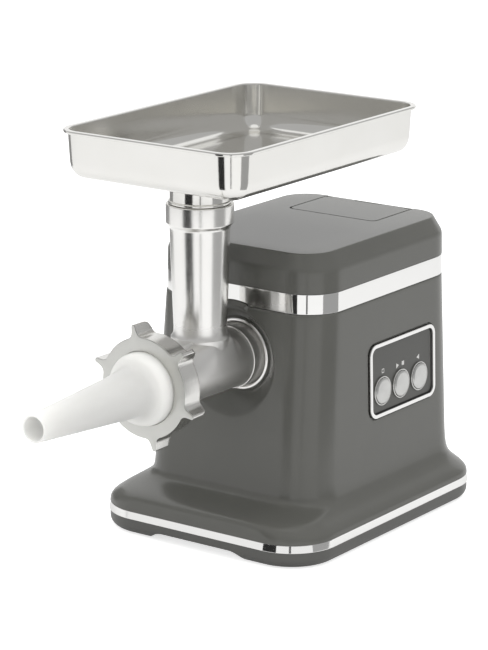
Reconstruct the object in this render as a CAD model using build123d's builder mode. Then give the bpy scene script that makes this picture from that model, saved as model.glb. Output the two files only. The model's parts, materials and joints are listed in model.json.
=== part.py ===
from build123d import *
from math import acos, atan, cos, pi, sin, tan
import os

# Driving dimensions in millimetres. The origin lies on the table under the middle of the whole
# length, the barrel points along -Y, the control panel faces +X and +Z is up.

# Housing column and its flared base
COLUMN_Y = 123.9            # middle of the column, behind the origin
BAND_BOTTOM = 202.2         # chrome band round the top of the column
BAND_TOP = 219.6
BAND_HALF = 86.3            # half width of the column at the band
BAND_REACH = 106.6          # half length of the column at the band
BAND_CORNER = 34.0
BAND_THICK = 2.2
FRONT_STEP = 1.4            # the front wall stands this far proud of the band
SIDE_DRAFT = 0.026          # outward lean of the side and rear walls, per millimetre of drop
FRONT_RAKE = 0.085          # outward lean of the front wall
WALL = 3.0
STRIP_BOTTOM = 14.7         # chrome strip round the foot of the base
STRIP_TOP = 21.6
STRIP_HALF = 111.7
STRIP_FRONT = -38.4
STRIP_REAR = 243.8
STRIP_CORNER = 42.6
STRIP_THICK = 3.2
FLARE_TOP = 60.0            # where the flare has died out into the walls
FLARE_SPAN = 35.6           # height over which the flare is measured
PAN_BOTTOM = 1.0
PAN_FLOOR = 4.0
PAN_ROUND = 8.0
ARCH_HALF = 40.0            # shallow arch between the two front feet
ARCH_TOP = 6.2
ARCH_RUN = 12.0             # length of the slope at each end of the arch
FOOT_RADIUS = 10.0

# Top cover, storage well and its lid
COVER_SHOULDER = 239.2      # upright wall ends and the broad chamfer starts
COVER_TOP = 252.3
COVER_HALF = 76.9
COVER_REACH = 100.0
COVER_CORNER = 26.0
LID_HALF = 44.5
LID_FRONT = COLUMN_Y + 37.5
LID_THICK = 2.9
LID_GAP = 0.4
LID_CORNER = 6.0
HINGE_Y = COLUMN_Y + 98.3
HINGE_Z = 249.6
HINGE_RADIUS = 2.6
PIN_RADIUS = 1.2
WELL_HALF = 41.0
WELL_FRONT = COLUMN_Y + 40.0
WELL_REAR = COLUMN_Y + 92.0
WELL_FLOOR = 182.0

# Control panel on the +X wall
PANEL_Y = COLUMN_Y + 17.4
PANEL_Z = 130.3
PANEL_LONG = 101.7
PANEL_HIGH = 64.8
PANEL_CORNER = 9.5
FRAME_WIDTH = 3.0
BUTTON_PITCH = 28.6
BUTTON_DROP = 10.3          # buttons lie this far below the middle of the panel
BUTTON_SHIFT = -2.2         # and this far from the middle, towards the head
BUTTON_RADIUS = 11.2
BEZEL_RADIUS = 12.8

# Grinding head
HEAD_Z = 158.0              # axis of barrel, auger and output shaft
SOCKET_RIM_Y = 23.6
SOCKET_BORE = 27.2
SOCKET_RADIUS = 29.3
DISH_FLOOR_Y = 25.4
DISH_RADIUS = 32.0
DISH_MOUTH = 47.0
DISH_EDGE_Y = 19.9          # the cone starts here and reaches the mouth radius at DISH_MOUTH_Y
DISH_MOUTH_Y = 9.4
COLLAR_Y = 10.6             # step on the barrel in front of the socket
TAIL_RADIUS = 26.9
TAIL_Y = 38.9
BARREL_RADIUS = 25.4
BARREL_FRONT_RADIUS = 24.4
BARREL_BORE = 21.0
BELL_RADIUS = 36.9
BELL_FRONT = -98.5
BELL_REAR = -84.0
BELL_FOOT = -68.0
CHAMBER_RADIUS = 30.5
SADDLE_HALF = 23.4          # flat back of the barrel under the feed tube
SADDLE_HIGH = 27.5          # above the barrel's axis
SADDLE_FULL_Y = -38.0       # it widens from the bell's foot to here
SADDLE_REAR_Y = -6.0
RIB_WIDTH = 19.0            # raised strip along the middle of the back
RIB_HIGH = 28.3
FEED_Y = -29.1              # axis of the feed tube and of the tray's neck
FEED_FOOT_RADIUS = 21.1
FEED_TOP_RADIUS = 25.2
FEED_TOP = 279.0
FEED_COLLAR_RADIUS = 28.1
FEED_RIM = 297.7
FEED_SHOULDER = 283.5
NECK_RADIUS = 24.8
NECK_BORE = 23.8
SHEET = 1.0

# Tray
TRAY_HALF = 92.4
TRAY_FRONT = -104.5
TRAY_REAR = 166.6
TRAY_CORNER = 22.5
TRAY_FLOOR = 318.5
TRAY_RIM = 359.8
RIM_WIDTH = 4.7
RIM_HIGH = 3.0
TRAY_DRAFT = 3.0            # degrees
TRAY_ROUND = 15.5

# Ring nut, plate, knife and stuffing tube
NUT_FRONT = -106.0
NUT_THICK = 20.0
NUT_LIP = 4.0
NUT_RADIUS = 42.1
NUT_MOUTH = 30.8
EAR_REACH = 52.5
EAR_BASE = 9.4
EAR_TIP = 3.4
EAR_TURN = 41.5             # degrees from +X to the first ear
PLATE_FRONT = -99.0
PLATE_THICK = 5.0
PLATE_RADIUS = 32.3
STUB_RADIUS = 4.05
KNIFE_THICK = 6.0
TUBE_TIP_Y = -243.8
TUBE_TIP_RADIUS = 11.4
TUBE_SLOPE = 0.0735
TUBE_WALL = 1.8
DOME_RADIUS = 30.5

# Drive train: 12:60 and 12:48 spur pairs, one above the other
PINION_TEETH = 12
FIRST_TEETH = 60
FIRST_MODULE = 1.0
SECOND_TEETH = 48
SECOND_MODULE = 1.5
BACKLASH = 0.3
MIDDLE_Z = HEAD_Z - SECOND_MODULE * (PINION_TEETH + SECOND_TEETH) / 2
MOTOR_Z = MIDDLE_Z - FIRST_MODULE * (PINION_TEETH + FIRST_TEETH) / 2
CASE_FRONT = 44.0
CASE_WALL = 5.0
COVER_PLATE_Y = 86.0        # front of the plate that closes the gearcase
OUTPUT_RADIUS = 12.0
OUTPUT_TAIL = 8.0
MIDDLE_RADIUS = 5.0
HEX_SIZE = 11.0             # across flats, auger's drive tail
HEX_PLAY = 0.4
CAN_RADIUS = 36.0
CAN_FRONT = COVER_PLATE_Y + CASE_WALL
CAN_REAR = 174.0
ROTOR_SHAFT = 4.0
MOTOR_BOLTS = 56.0          # between the two screws that hold the motor
SLIP = 0.05                 # running clearance on radius
SEAT = 0.02                 # clearance of a fixed seat on radius


def facing(y, z=HEAD_Z):
    """Plane square to Y with its own up along +Z; a positive extrusion runs to the front."""
    return Plane(origin=(0, y, z), x_dir=(1, 0, 0), z_dir=(0, -1, 0))


def head_axis(z=HEAD_Z):
    """Axis along Y at x = 0 and the given height."""
    return Axis((0, 0, z), (0, 1, 0))


def plan(z, half, front, rear, corner):
    """Rounded rectangle at height z, symmetric about x = 0, between two Y limits."""
    with BuildSketch(Plane.XY.offset(z)) as outline:
        with Locations((0, (front + rear) / 2)):
            RectangleRounded(2 * half, rear - front, corner)
    return outline.sketch


def band_plan(z, inset=0.0):
    """Outline of the column at the band, drawn in by the inset."""
    return plan(z, BAND_HALF - inset, COLUMN_Y - BAND_REACH + inset,
                COLUMN_Y + BAND_REACH - inset, BAND_CORNER - inset)


def strip_plan(z, inset=0.0):
    """Outline of the base at the strip, drawn in by the inset."""
    return plan(z, STRIP_HALF - inset, STRIP_FRONT + inset, STRIP_REAR - inset, STRIP_CORNER - inset)


def soft_step(z, middle, sharpness):
    """Falls from 1 at the strip to 0 where the flare ends: 1 / (1 + (height / middle) ** sharpness)."""
    height = (min(max(z, STRIP_TOP), FLARE_TOP) - STRIP_TOP) / FLARE_SPAN
    rest = 1 / (1 + ((FLARE_TOP - STRIP_TOP) / FLARE_SPAN / middle) ** sharpness)
    return (1 / (1 + (height / middle) ** sharpness) - rest) / (1 - rest)


def wall_half(z):
    """Half width of the column's straight side wall at height z."""
    return BAND_HALF + SIDE_DRAFT * (BAND_BOTTOM - z)


def body_plan(z, inset=0.0, look_up=0.0):
    """Outline of the housing at height z: raked walls plus a flare that is widest at the front."""
    level = z + look_up
    drop = BAND_BOTTOM - level
    side = soft_step(level, 0.37, 3.0)
    front = soft_step(level, 0.477, 11.0)
    round_step = soft_step(level, 0.65, 4.0)
    wall_front = COLUMN_Y - BAND_REACH - FRONT_STEP - FRONT_RAKE * drop
    wall_rear = COLUMN_Y + BAND_REACH + SIDE_DRAFT * drop
    half = wall_half(level) + side * (STRIP_HALF - wall_half(STRIP_TOP))
    foot_drop = BAND_BOTTOM - STRIP_TOP
    foot_front = COLUMN_Y - BAND_REACH - FRONT_STEP - FRONT_RAKE * foot_drop
    foot_rear = COLUMN_Y + BAND_REACH + SIDE_DRAFT * foot_drop
    y_front = wall_front + front * (STRIP_FRONT - foot_front)
    y_rear = wall_rear + side * (STRIP_REAR - foot_rear)
    corner = BAND_CORNER + round_step * (STRIP_CORNER - BAND_CORNER)
    return plan(z, half - inset, y_front + inset, y_rear - inset, corner - inset)


def gear_outline(teeth, module, turn=0.0):
    """Closed list of points of a stub involute gear, pressure angle 20 degrees, with backlash."""
    pressure = pi / 9
    pitch = teeth * module / 2
    base = pitch * cos(pressure)
    root = pitch - 1.05 * module
    tip = pitch + 0.8 * module
    start = max(base, root)
    half_tooth = (pi * module / 2 - BACKLASH / 2) / 2 / pitch
    flank = []
    for step in range(4):
        radius = start + (tip - start) * step / 3
        angle = acos(min(base / radius, 1.0))
        spread = half_tooth + (tan(pressure) - pressure) - (tan(angle) - angle)
        flank.append((radius, spread))
    if root < start:
        flank.insert(0, (root, flank[0][1]))
    points = []
    for tooth in range(teeth):
        middle = turn + 2 * pi * tooth / teeth
        for radius, spread in flank:
            points.append((radius * cos(middle - spread), radius * sin(middle - spread)))
        for radius, spread in reversed(flank):
            points.append((radius * cos(middle + spread), radius * sin(middle + spread)))
    return points


def gear_face(teeth, module, turn=0.0):
    """Filled gear outline in the sketch that is open."""
    Polygon(*gear_outline(teeth, module, turn), align=None)


# Housing: a hollow column with a dished front, left open at the foot and at the top
FLARE_LEVELS = 16
FLARE_HEIGHTS = [STRIP_TOP + (FLARE_TOP - STRIP_TOP) * i / FLARE_LEVELS for i in range(FLARE_LEVELS + 1)]
BOSS_PLACES = [(x, y) for x in (-84.0, 84.0) for y in (6.0, 216.0)]
BOSS_RADIUS = 5.0
SCREW_RADIUS = 1.8
PANEL_TILT = atan(SIDE_DRAFT)
PANEL = Plane(origin=(wall_half(PANEL_Z), PANEL_Y, PANEL_Z), x_dir=(0, 1, 0),
              z_dir=(cos(PANEL_TILT), 0, sin(PANEL_TILT)))
VENT_Z = 128.0
VENT_PITCH = 9.0
GLAND_X = -46.0
GLAND_Z = 72.0
GLAND_RADIUS = 8.0
GLAND_REAR_Y = COLUMN_Y + BAND_REACH + SIDE_DRAFT * (BAND_BOTTOM - GLAND_Z)
NECK_TOP = 226.0
NECK_INSET = BAND_THICK + 0.05
NECK_WALL = 2.5

with BuildPart() as cavity:
    loft([body_plan(z - WALL, WALL, WALL) for z in FLARE_HEIGHTS])
    loft([body_plan(FLARE_TOP - WALL, WALL, WALL), body_plan(BAND_BOTTOM + 1, WALL)], ruled=True)
    with BuildSketch(Plane.YZ):
        with BuildLine():
            Polyline((DISH_FLOOR_Y + WALL, HEAD_Z), (DISH_FLOOR_Y + WALL, HEAD_Z + DISH_RADIUS + WALL),
                     (DISH_EDGE_Y + 1.2, HEAD_Z + DISH_RADIUS + WALL),
                     (DISH_MOUTH_Y + 1.2, HEAD_Z + DISH_MOUTH + WALL),
                     (-40, HEAD_Z + DISH_MOUTH + WALL), (-40, HEAD_Z), close=True)
        make_face()
    revolve(axis=head_axis(), mode=Mode.SUBTRACT)
    with BuildSketch(Plane.XY):
        with Locations(*BOSS_PLACES):
            Circle(BOSS_RADIUS)
    extrude(amount=FLARE_TOP, mode=Mode.SUBTRACT)

with BuildPart() as housing_shell:
    loft([body_plan(z) for z in FLARE_HEIGHTS])
    loft([body_plan(FLARE_TOP), body_plan(BAND_BOTTOM)], ruled=True)
    add(cavity.part, mode=Mode.SUBTRACT)
    # ledge and upright neck that carry the band and the top cover
    extrude(body_plan(BAND_BOTTOM, 1.5), amount=-5)
    extrude(band_plan(BAND_BOTTOM - 5, NECK_INSET), amount=NECK_TOP - BAND_BOTTOM + 5)
    extrude(band_plan(BAND_BOTTOM - 6, NECK_INSET + NECK_WALL), amount=NECK_TOP - BAND_BOTTOM + 8,
            mode=Mode.SUBTRACT)
    # dish round the socket
    with BuildSketch(Plane.YZ):
        with BuildLine():
            Polyline((DISH_FLOOR_Y, HEAD_Z), (DISH_FLOOR_Y, HEAD_Z + DISH_RADIUS),
                     (DISH_EDGE_Y, HEAD_Z + DISH_RADIUS), (DISH_MOUTH_Y, HEAD_Z + DISH_MOUTH),
                     (DISH_MOUTH_Y - 21, HEAD_Z + 2 * DISH_MOUTH - DISH_RADIUS + 15),
                     (DISH_MOUTH_Y - 21, HEAD_Z), close=True)
        make_face()
    revolve(axis=head_axis(), mode=Mode.SUBTRACT)
    with BuildSketch(facing(DISH_FLOOR_Y + 10)):
        Circle(SOCKET_RADIUS + 0.4)
    extrude(amount=20, mode=Mode.SUBTRACT)
    # window behind the control panel
    with BuildSketch(PANEL):
        RectangleRounded(PANEL_LONG - 2 * FRAME_WIDTH + 0.6, PANEL_HIGH - 2 * FRAME_WIDTH + 0.6,
                         PANEL_CORNER - FRAME_WIDTH)
    extrude(amount=8, both=True, mode=Mode.SUBTRACT)
    # cooling slots and the cord's hole in the rear wall
    with BuildSketch(facing(COLUMN_Y + BAND_REACH + 12, VENT_Z)):
        with GridLocations(52, VENT_PITCH, 2, 7):
            SlotOverall(44, 3.6)
    extrude(amount=20, mode=Mode.SUBTRACT)
    with BuildSketch(facing(COLUMN_Y + BAND_REACH + 12, GLAND_Z)):
        with Locations((GLAND_X, 0)):
            Circle(GLAND_RADIUS + 0.3)
    extrude(amount=20, mode=Mode.SUBTRACT)
    with BuildSketch(Plane.XY.offset(STRIP_TOP - 1)):
        with Locations(*BOSS_PLACES):
            Circle(SCREW_RADIUS - 0.2)
    extrude(amount=14, mode=Mode.SUBTRACT)

# Chrome band between column and top cover
with BuildPart() as upper_band:
    extrude(band_plan(BAND_BOTTOM), amount=BAND_TOP - BAND_BOTTOM)
    extrude(band_plan(BAND_BOTTOM, BAND_THICK), amount=BAND_TOP - BAND_BOTTOM, mode=Mode.SUBTRACT)

# Top cover: upright wall, broad chamfer, flat top with the mouth of the storage well
KNUCKLES = [(-44.1, -38.4), (-13.6, 13.6), (38.4, 44.1)]


def cover_plan(z, inset=0.0):
    """Outline of the cover's flat top, drawn in by the inset."""
    return plan(z, COVER_HALF - inset, COLUMN_Y - COVER_REACH + inset,
                COLUMN_Y + COVER_REACH - inset, COVER_CORNER - inset)


with BuildPart() as top_cover:
    loft([band_plan(BAND_TOP), band_plan(COVER_SHOULDER, 0.4), cover_plan(COVER_TOP)], ruled=True)
    extrude(band_plan(BAND_TOP, BAND_THICK), amount=NECK_TOP + 0.5 - BAND_TOP, mode=Mode.SUBTRACT)
    loft([band_plan(BAND_TOP, WALL), band_plan(COVER_SHOULDER - 1, WALL + 0.4),
          cover_plan(COVER_TOP - WALL, 1.6)], ruled=True, mode=Mode.SUBTRACT)
    with BuildSketch(Plane.XY.offset(HINGE_Z - 4.6)):
        with Locations((0, (LID_FRONT - LID_GAP + HINGE_Y + 4.7) / 2)):
            RectangleRounded(2 * (LID_HALF + LID_GAP), HINGE_Y + 4.7 - LID_FRONT + LID_GAP, LID_CORNER)
    extrude(amount=20, mode=Mode.SUBTRACT)
    for low, high in KNUCKLES:
        with BuildSketch(Plane.YZ.offset(low)):
            with Locations((HINGE_Y, HINGE_Z)):
                Circle(HINGE_RADIUS)
            with Locations((HINGE_Y + 0.7, HINGE_Z - 5.0)):
                Rectangle(4.4, 10.0)
        extrude(amount=high - low)
    with BuildSketch(Plane.YZ.offset(-LID_HALF)):
        with Locations((HINGE_Y, HINGE_Z)):
            Circle(PIN_RADIUS + SEAT)
    extrude(amount=2 * LID_HALF, mode=Mode.SUBTRACT)

# Lid with two hinge barrels and the pin that carries them
BARRELS = [(-38.0, -14.0), (14.0, 38.0)]

with BuildPart() as storage_lid:
    with BuildSketch(Plane.XY.offset(COVER_TOP - LID_THICK)):
        with Locations((0, (LID_FRONT + HINGE_Y) / 2)):
            Rectangle(2 * LID_HALF, HINGE_Y - LID_FRONT)
    extrude(amount=LID_THICK)
    fillet(storage_lid.edges().filter_by(Axis.Z).group_by(Axis.Y)[0], LID_CORNER)
    for low, high in KNUCKLES:
        with BuildSketch(Plane.XY.offset(COVER_TOP - LID_THICK - 1)):
            with Locations(((low + high) / 2, HINGE_Y)):
                Rectangle(high - low + 0.8, 7.0)
        extrude(amount=LID_THICK + 2, mode=Mode.SUBTRACT)
    for low, high in BARRELS:
        with BuildSketch(Plane.YZ.offset(low)):
            with Locations((HINGE_Y, HINGE_Z)):
                Circle(HINGE_RADIUS)
        extrude(amount=high - low)
    with BuildSketch(Plane.YZ.offset(-LID_HALF - 1)):
        with Locations((HINGE_Y, HINGE_Z)):
            Circle(PIN_RADIUS + SLIP)
    extrude(amount=2 * LID_HALF + 2, mode=Mode.SUBTRACT)
    with BuildSketch(Plane.XY.offset(COVER_TOP - LID_THICK - 1)):
        with Locations(*[(side * (LID_HALF - 0.2), HINGE_Y) for side in (-1, 1)]):
            Rectangle(1.2, 7.0)
    extrude(amount=LID_THICK + 2, mode=Mode.SUBTRACT)

with BuildPart() as lid_pin:
    with BuildSketch(Plane.YZ.offset(-LID_HALF + 0.6)):
        with Locations((HINGE_Y, HINGE_Z)):
            Circle(PIN_RADIUS)
    extrude(amount=2 * LID_HALF - 1.2)

# Open box under the lid that holds spare plates on edge
WELL_RIM = COVER_TOP - WALL

with BuildPart() as storage_well:
    extrude(plan(WELL_FLOOR, WELL_HALF + 2, WELL_FRONT - 2, WELL_REAR + 2, 6), amount=WELL_RIM - WELL_FLOOR)
    extrude(plan(WELL_RIM - 2, WELL_HALF + 6, WELL_FRONT - 6, WELL_REAR + 2.5, 4), amount=2)
    extrude(plan(WELL_FLOOR + 2, WELL_HALF, WELL_FRONT, WELL_REAR, 4), amount=WELL_RIM, mode=Mode.SUBTRACT)

# Base: chrome strip, pan with rounded edge, rubber feet and screws
FOOT_PLACES = [(x, y) for x in (-82.0, 82.0) for y in (-13.0, 198.0)]

with BuildPart() as base_strip:
    extrude(strip_plan(STRIP_BOTTOM), amount=STRIP_TOP - STRIP_BOTTOM)
    extrude(strip_plan(STRIP_BOTTOM, STRIP_THICK), amount=STRIP_TOP - STRIP_BOTTOM, mode=Mode.SUBTRACT)

with BuildPart() as base_pan:
    extrude(strip_plan(PAN_BOTTOM), amount=STRIP_BOTTOM - PAN_BOTTOM)
    fillet(base_pan.edges().group_by(Axis.Z)[0], PAN_ROUND)
    extrude(strip_plan(STRIP_BOTTOM - 1, STRIP_THICK + 0.7), amount=9)
    extrude(plan(PAN_FLOOR, STRIP_HALF - 14, STRIP_FRONT + 27, STRIP_REAR - 14, 22), amount=40,
            mode=Mode.SUBTRACT)
    extrude(strip_plan(STRIP_BOTTOM, STRIP_THICK + 3.2), amount=20, mode=Mode.SUBTRACT)
    with BuildSketch(Plane.XY.offset(PAN_FLOOR - 1)):
        with Locations(*BOSS_PLACES):
            Circle(BOSS_RADIUS)
    extrude(amount=STRIP_TOP - PAN_FLOOR + 0.9)
    # arch between the front feet
    with BuildSketch(facing(STRIP_FRONT + 23, 0)):
        with BuildLine():
            Polyline((-ARCH_HALF - ARCH_RUN, 0), (-ARCH_HALF, ARCH_TOP), (ARCH_HALF, ARCH_TOP),
                     (ARCH_HALF + ARCH_RUN, 0), close=True)
        make_face()
    extrude(amount=40, mode=Mode.SUBTRACT)
    # pockets for the feet, holes for the screws, slots for air
    with BuildSketch(Plane.XY):
        with Locations(*FOOT_PLACES):
            Circle(FOOT_RADIUS + 0.1)
    extrude(amount=3, mode=Mode.SUBTRACT)
    with BuildSketch(Plane.XY):
        with Locations(*BOSS_PLACES):
            Circle(SCREW_RADIUS + 0.2)
    extrude(amount=40, mode=Mode.SUBTRACT)
    with BuildSketch(Plane.XY):
        with Locations(*BOSS_PLACES):
            Circle(3.6)
    extrude(amount=PAN_FLOOR + 0.2, mode=Mode.SUBTRACT)
    with BuildSketch(Plane.XY):
        with Locations((0, COLUMN_Y + 45)):
            with GridLocations(0, 8, 1, 5):
                SlotOverall(70, 3.6)
    extrude(amount=PAN_FLOOR + 1, mode=Mode.SUBTRACT)

with BuildPart() as rubber_feet:
    with BuildSketch(Plane.XY):
        with Locations(*FOOT_PLACES):
            Circle(FOOT_RADIUS)
    extrude(amount=3)
    chamfer(rubber_feet.edges().group_by(Axis.Z)[0], 0.5)

with BuildPart() as base_screws:
    with BuildSketch(Plane.XY.offset(PAN_FLOOR - 2)):
        with Locations(*BOSS_PLACES):
            Circle(3.4)
    extrude(amount=2.2)
    with BuildSketch(Plane.XY.offset(PAN_FLOOR)):
        with Locations(*BOSS_PLACES):
            Circle(SCREW_RADIUS - 0.22)
    extrude(amount=26)

# Control panel: chrome frame, plate, three sprung buttons and the board behind them
BUTTONS = [(BUTTON_SHIFT + BUTTON_PITCH * place, -BUTTON_DROP) for place in (-1, 0, 1)]
PLATE_FACE = -0.2
PLATE_DEEP = 2.0
COLLAR_DEEP = 4.0
CAP_FACE = 2.3
CAP_FLANGE = 1.6
BOARD_FACE = -12.6

with BuildPart() as panel_frame:
    with BuildSketch(PANEL):
        RectangleRounded(PANEL_LONG, PANEL_HIGH, PANEL_CORNER)
        RectangleRounded(PANEL_LONG - 2 * FRAME_WIDTH, PANEL_HIGH - 2 * FRAME_WIDTH,
                         PANEL_CORNER - FRAME_WIDTH, mode=Mode.SUBTRACT)
    extrude(amount=1.6)
    chamfer(panel_frame.faces().sort_by(Axis.X)[-1].edges(), 0.5)

with BuildPart() as panel_plate:
    with BuildSketch(PANEL.offset(PLATE_FACE)):
        RectangleRounded(PANEL_LONG - 2 * FRAME_WIDTH - 0.2, PANEL_HIGH - 2 * FRAME_WIDTH - 0.2,
                         PANEL_CORNER - FRAME_WIDTH)
        with Locations(*BUTTONS):
            Circle(BEZEL_RADIUS - 0.7, mode=Mode.SUBTRACT)
    extrude(amount=-PLATE_DEEP)
    # posts that hold the board
    with BuildSketch(PANEL.offset(PLATE_FACE - PLATE_DEEP)):
        with GridLocations(84, 44, 2, 2):
            Circle(3)
    extrude(amount=BOARD_FACE - PLATE_FACE + PLATE_DEEP)

with BuildPart() as button_bezels:
    with BuildSketch(PANEL.offset(PLATE_FACE)):
        with Locations(*BUTTONS):
            Circle(BEZEL_RADIUS)
            Circle(BUTTON_RADIUS + 0.3, mode=Mode.SUBTRACT)
    extrude(amount=1.3)
    with BuildSketch(PANEL.offset(PLATE_FACE)):
        with Locations(*BUTTONS):
            Circle(BEZEL_RADIUS - 0.75)
            Circle(BUTTON_RADIUS + 0.3, mode=Mode.SUBTRACT)
    extrude(amount=-COLLAR_DEEP)


def button(place):
    """Cap with a retaining flange behind the bezel and a short stem over its switch."""
    with BuildPart() as cap:
        with BuildSketch(PANEL.offset(CAP_FACE)):
            with Locations(place):
                Circle(BUTTON_RADIUS)
        extrude(amount=PLATE_FACE - COLLAR_DEEP - 0.1 - CAP_FACE - CAP_FLANGE)
        with BuildSketch(PANEL.offset(PLATE_FACE - COLLAR_DEEP - 0.1)):
            with Locations(place):
                Circle(BEZEL_RADIUS)
        extrude(amount=-CAP_FLANGE)
        fillet(cap.edges().filter_by(GeomType.CIRCLE).sort_by(Axis.X)[-1], 1.0)
    return cap


button_reverse = button(BUTTONS[0])
button_power = button(BUTTONS[1])
button_forward = button(BUTTONS[2])

with BuildPart() as control_board:
    with BuildSketch(PANEL.offset(BOARD_FACE)):
        Rectangle(92, 54)
    extrude(amount=-1.6)
    # capacitor, relay and terminal block on the back
    with BuildSketch(PANEL.offset(BOARD_FACE - 1.6)):
        with Locations((-28, 12), (0, 12)):
            Rectangle(20, 16)
        with Locations((30, 10)):
            Circle(8)
        with Locations((0, -16)):
            Rectangle(50, 10)
    extrude(amount=-14)

with BuildPart() as push_switches:
    with BuildSketch(PANEL.offset(BOARD_FACE)):
        with Locations(*BUTTONS):
            Rectangle(12, 12)
    extrude(amount=3)
    with BuildSketch(PANEL.offset(BOARD_FACE + 3)):
        with Locations(*BUTTONS):
            Circle(3.4)
    extrude(amount=1)

# Socket that takes the head, with its screws into the gearcase
with BuildPart() as socket_sleeve:
    with BuildSketch(facing(CASE_FRONT)):
        Circle(SOCKET_RADIUS)
        Circle(SOCKET_BORE, mode=Mode.SUBTRACT)
    extrude(amount=CASE_FRONT - SOCKET_RIM_Y)
    fillet(socket_sleeve.edges().group_by(Axis.Y)[0], 0.7)
    with BuildSketch(facing(CASE_FRONT)):
        Circle(38)
        Circle(SOCKET_BORE, mode=Mode.SUBTRACT)
        with PolarLocations(33.6, 4, 45):
            Circle(2.1, mode=Mode.SUBTRACT)
    extrude(amount=4)

with BuildPart() as socket_screws:
    with BuildSketch(facing(CASE_FRONT - 4)):
        with PolarLocations(33.6, 4, 45):
            Circle(3.5)
    extrude(amount=3)
    with BuildSketch(facing(CASE_FRONT + CASE_WALL)):
        with PolarLocations(33.6, 4, 45):
            Circle(1.9)
    extrude(amount=CASE_WALL + 4)

# Gearcase with three shaft seats in line, and the plate that closes it
CASE_CIRCLES = [(HEAD_Z, 40.0), (MIDDLE_Z, 33.5), (MOTOR_Z, 11.0)]
CASE_SCREWS = [(-42.5, 178.0), (42.5, 178.0), (-42.0, 130.0), (42.0, 130.0)]
BUSH_RADIUS = 16.0
MIDDLE_BUSH = 8.0
TAIL_BUSH = 12.0


def case_profile(y, grow, lower=None):
    """Hull round the three shafts on a plane square to Y."""
    with BuildSketch(facing(y, 0)) as outline:
        for z, radius in CASE_CIRCLES:
            with Locations((0, z)):
                Circle(lower if lower and z == MOTOR_Z else radius + grow)
        make_hull()
    return outline.sketch


with BuildPart() as gearcase:
    extrude(case_profile(COVER_PLATE_Y, 4), amount=COVER_PLATE_Y - CASE_FRONT)
    with BuildSketch(facing(COVER_PLATE_Y, 0)):
        with Locations(*CASE_SCREWS):
            Circle(5)
    extrude(amount=14)
    extrude(case_profile(COVER_PLATE_Y, 0), amount=COVER_PLATE_Y - CASE_FRONT - CASE_WALL, mode=Mode.SUBTRACT)
    with BuildSketch(facing(COVER_PLATE_Y, 0)):
        with Locations((0, HEAD_Z)):
            Circle(BUSH_RADIUS + SEAT)
        with Locations((0, MIDDLE_Z)):
            Circle(MIDDLE_BUSH + SEAT)
        with Locations(*CASE_SCREWS):
            Circle(1.9)
    extrude(amount=12, mode=Mode.SUBTRACT)
    with BuildSketch(facing(CASE_FRONT + CASE_WALL, 0)):
        with Locations((0, HEAD_Z)):
            Circle(BUSH_RADIUS + SEAT)
            with PolarLocations(33.6, 4, 45):
                Circle(1.95)
        with Locations((0, MIDDLE_Z)):
            Circle(MIDDLE_BUSH + SEAT)
    extrude(amount=CASE_WALL, mode=Mode.SUBTRACT)

with BuildPart() as gear_cover:
    extrude(case_profile(CAN_FRONT, 4, lower=38.0), amount=CASE_WALL)
    with BuildSketch(facing(CAN_FRONT, 0)):
        with Locations(*CASE_SCREWS):
            Circle(5)
    extrude(amount=CASE_WALL)
    with BuildSketch(facing(CAN_FRONT, 0)):
        with Locations((0, HEAD_Z)):
            Circle(TAIL_BUSH + SEAT)
        with Locations((0, MIDDLE_Z)):
            Circle(MIDDLE_BUSH + SEAT)
        with Locations((0, MOTOR_Z)):
            Circle(9)
            with GridLocations(MOTOR_BOLTS, 0, 2, 1):
                Circle(2.2)
        with Locations(*CASE_SCREWS):
            Circle(2.2)
    extrude(amount=CASE_WALL, mode=Mode.SUBTRACT)

with BuildPart() as gearcase_screws:
    with BuildSketch(facing(CAN_FRONT + 3, 0)):
        with Locations(*CASE_SCREWS):
            Circle(3.5)
    extrude(amount=3)
    with BuildSketch(facing(CAN_FRONT, 0)):
        with Locations(*CASE_SCREWS):
            Circle(1.8)
    extrude(amount=14)

with BuildPart() as output_bushes:
    with BuildSketch(facing(CASE_FRONT + CASE_WALL)):
        Circle(BUSH_RADIUS)
        Circle(OUTPUT_RADIUS + SLIP, mode=Mode.SUBTRACT)
    extrude(amount=CASE_WALL)
    with BuildSketch(facing(CAN_FRONT)):
        Circle(TAIL_BUSH)
        Circle(OUTPUT_TAIL + SLIP, mode=Mode.SUBTRACT)
    extrude(amount=CASE_WALL)

with BuildPart() as middle_bushes:
    for y in (CASE_FRONT + CASE_WALL, CAN_FRONT):
        with BuildSketch(facing(y, MIDDLE_Z)):
            Circle(MIDDLE_BUSH)
            Circle(MIDDLE_RADIUS + SLIP, mode=Mode.SUBTRACT)
        extrude(amount=CASE_WALL)

# Output shaft with a six-sided socket for the auger, and its gear
SHAFT_FRONT = 42.0
SECOND_REAR = 63.0
SECOND_FACE = 12.0
FIRST_REAR = 76.0
FIRST_FACE = 8.0
HALF_TOOTH = pi / PINION_TEETH

with BuildPart() as output_shaft:
    with BuildSketch(facing(SECOND_REAR + 0.2)):
        Circle(OUTPUT_RADIUS)
    extrude(amount=SECOND_REAR + 0.2 - SHAFT_FRONT)
    with BuildSketch(facing(CAN_FRONT - 0.4)):
        Circle(OUTPUT_TAIL)
    extrude(amount=CAN_FRONT - 0.4 - SECOND_REAR)
    with BuildSketch(facing(SHAFT_FRONT + 14)):
        RegularPolygon((HEX_SIZE + HEX_PLAY) / 2, 6, major_radius=False)
    extrude(amount=14, mode=Mode.SUBTRACT)

with BuildPart() as output_gear:
    with BuildSketch(facing(SECOND_REAR)):
        gear_face(SECOND_TEETH, SECOND_MODULE)
        Circle(OUTPUT_RADIUS + SEAT, mode=Mode.SUBTRACT)
        with PolarLocations(23.5, 6):
            Circle(6.5, mode=Mode.SUBTRACT)
    extrude(amount=SECOND_FACE)

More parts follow.
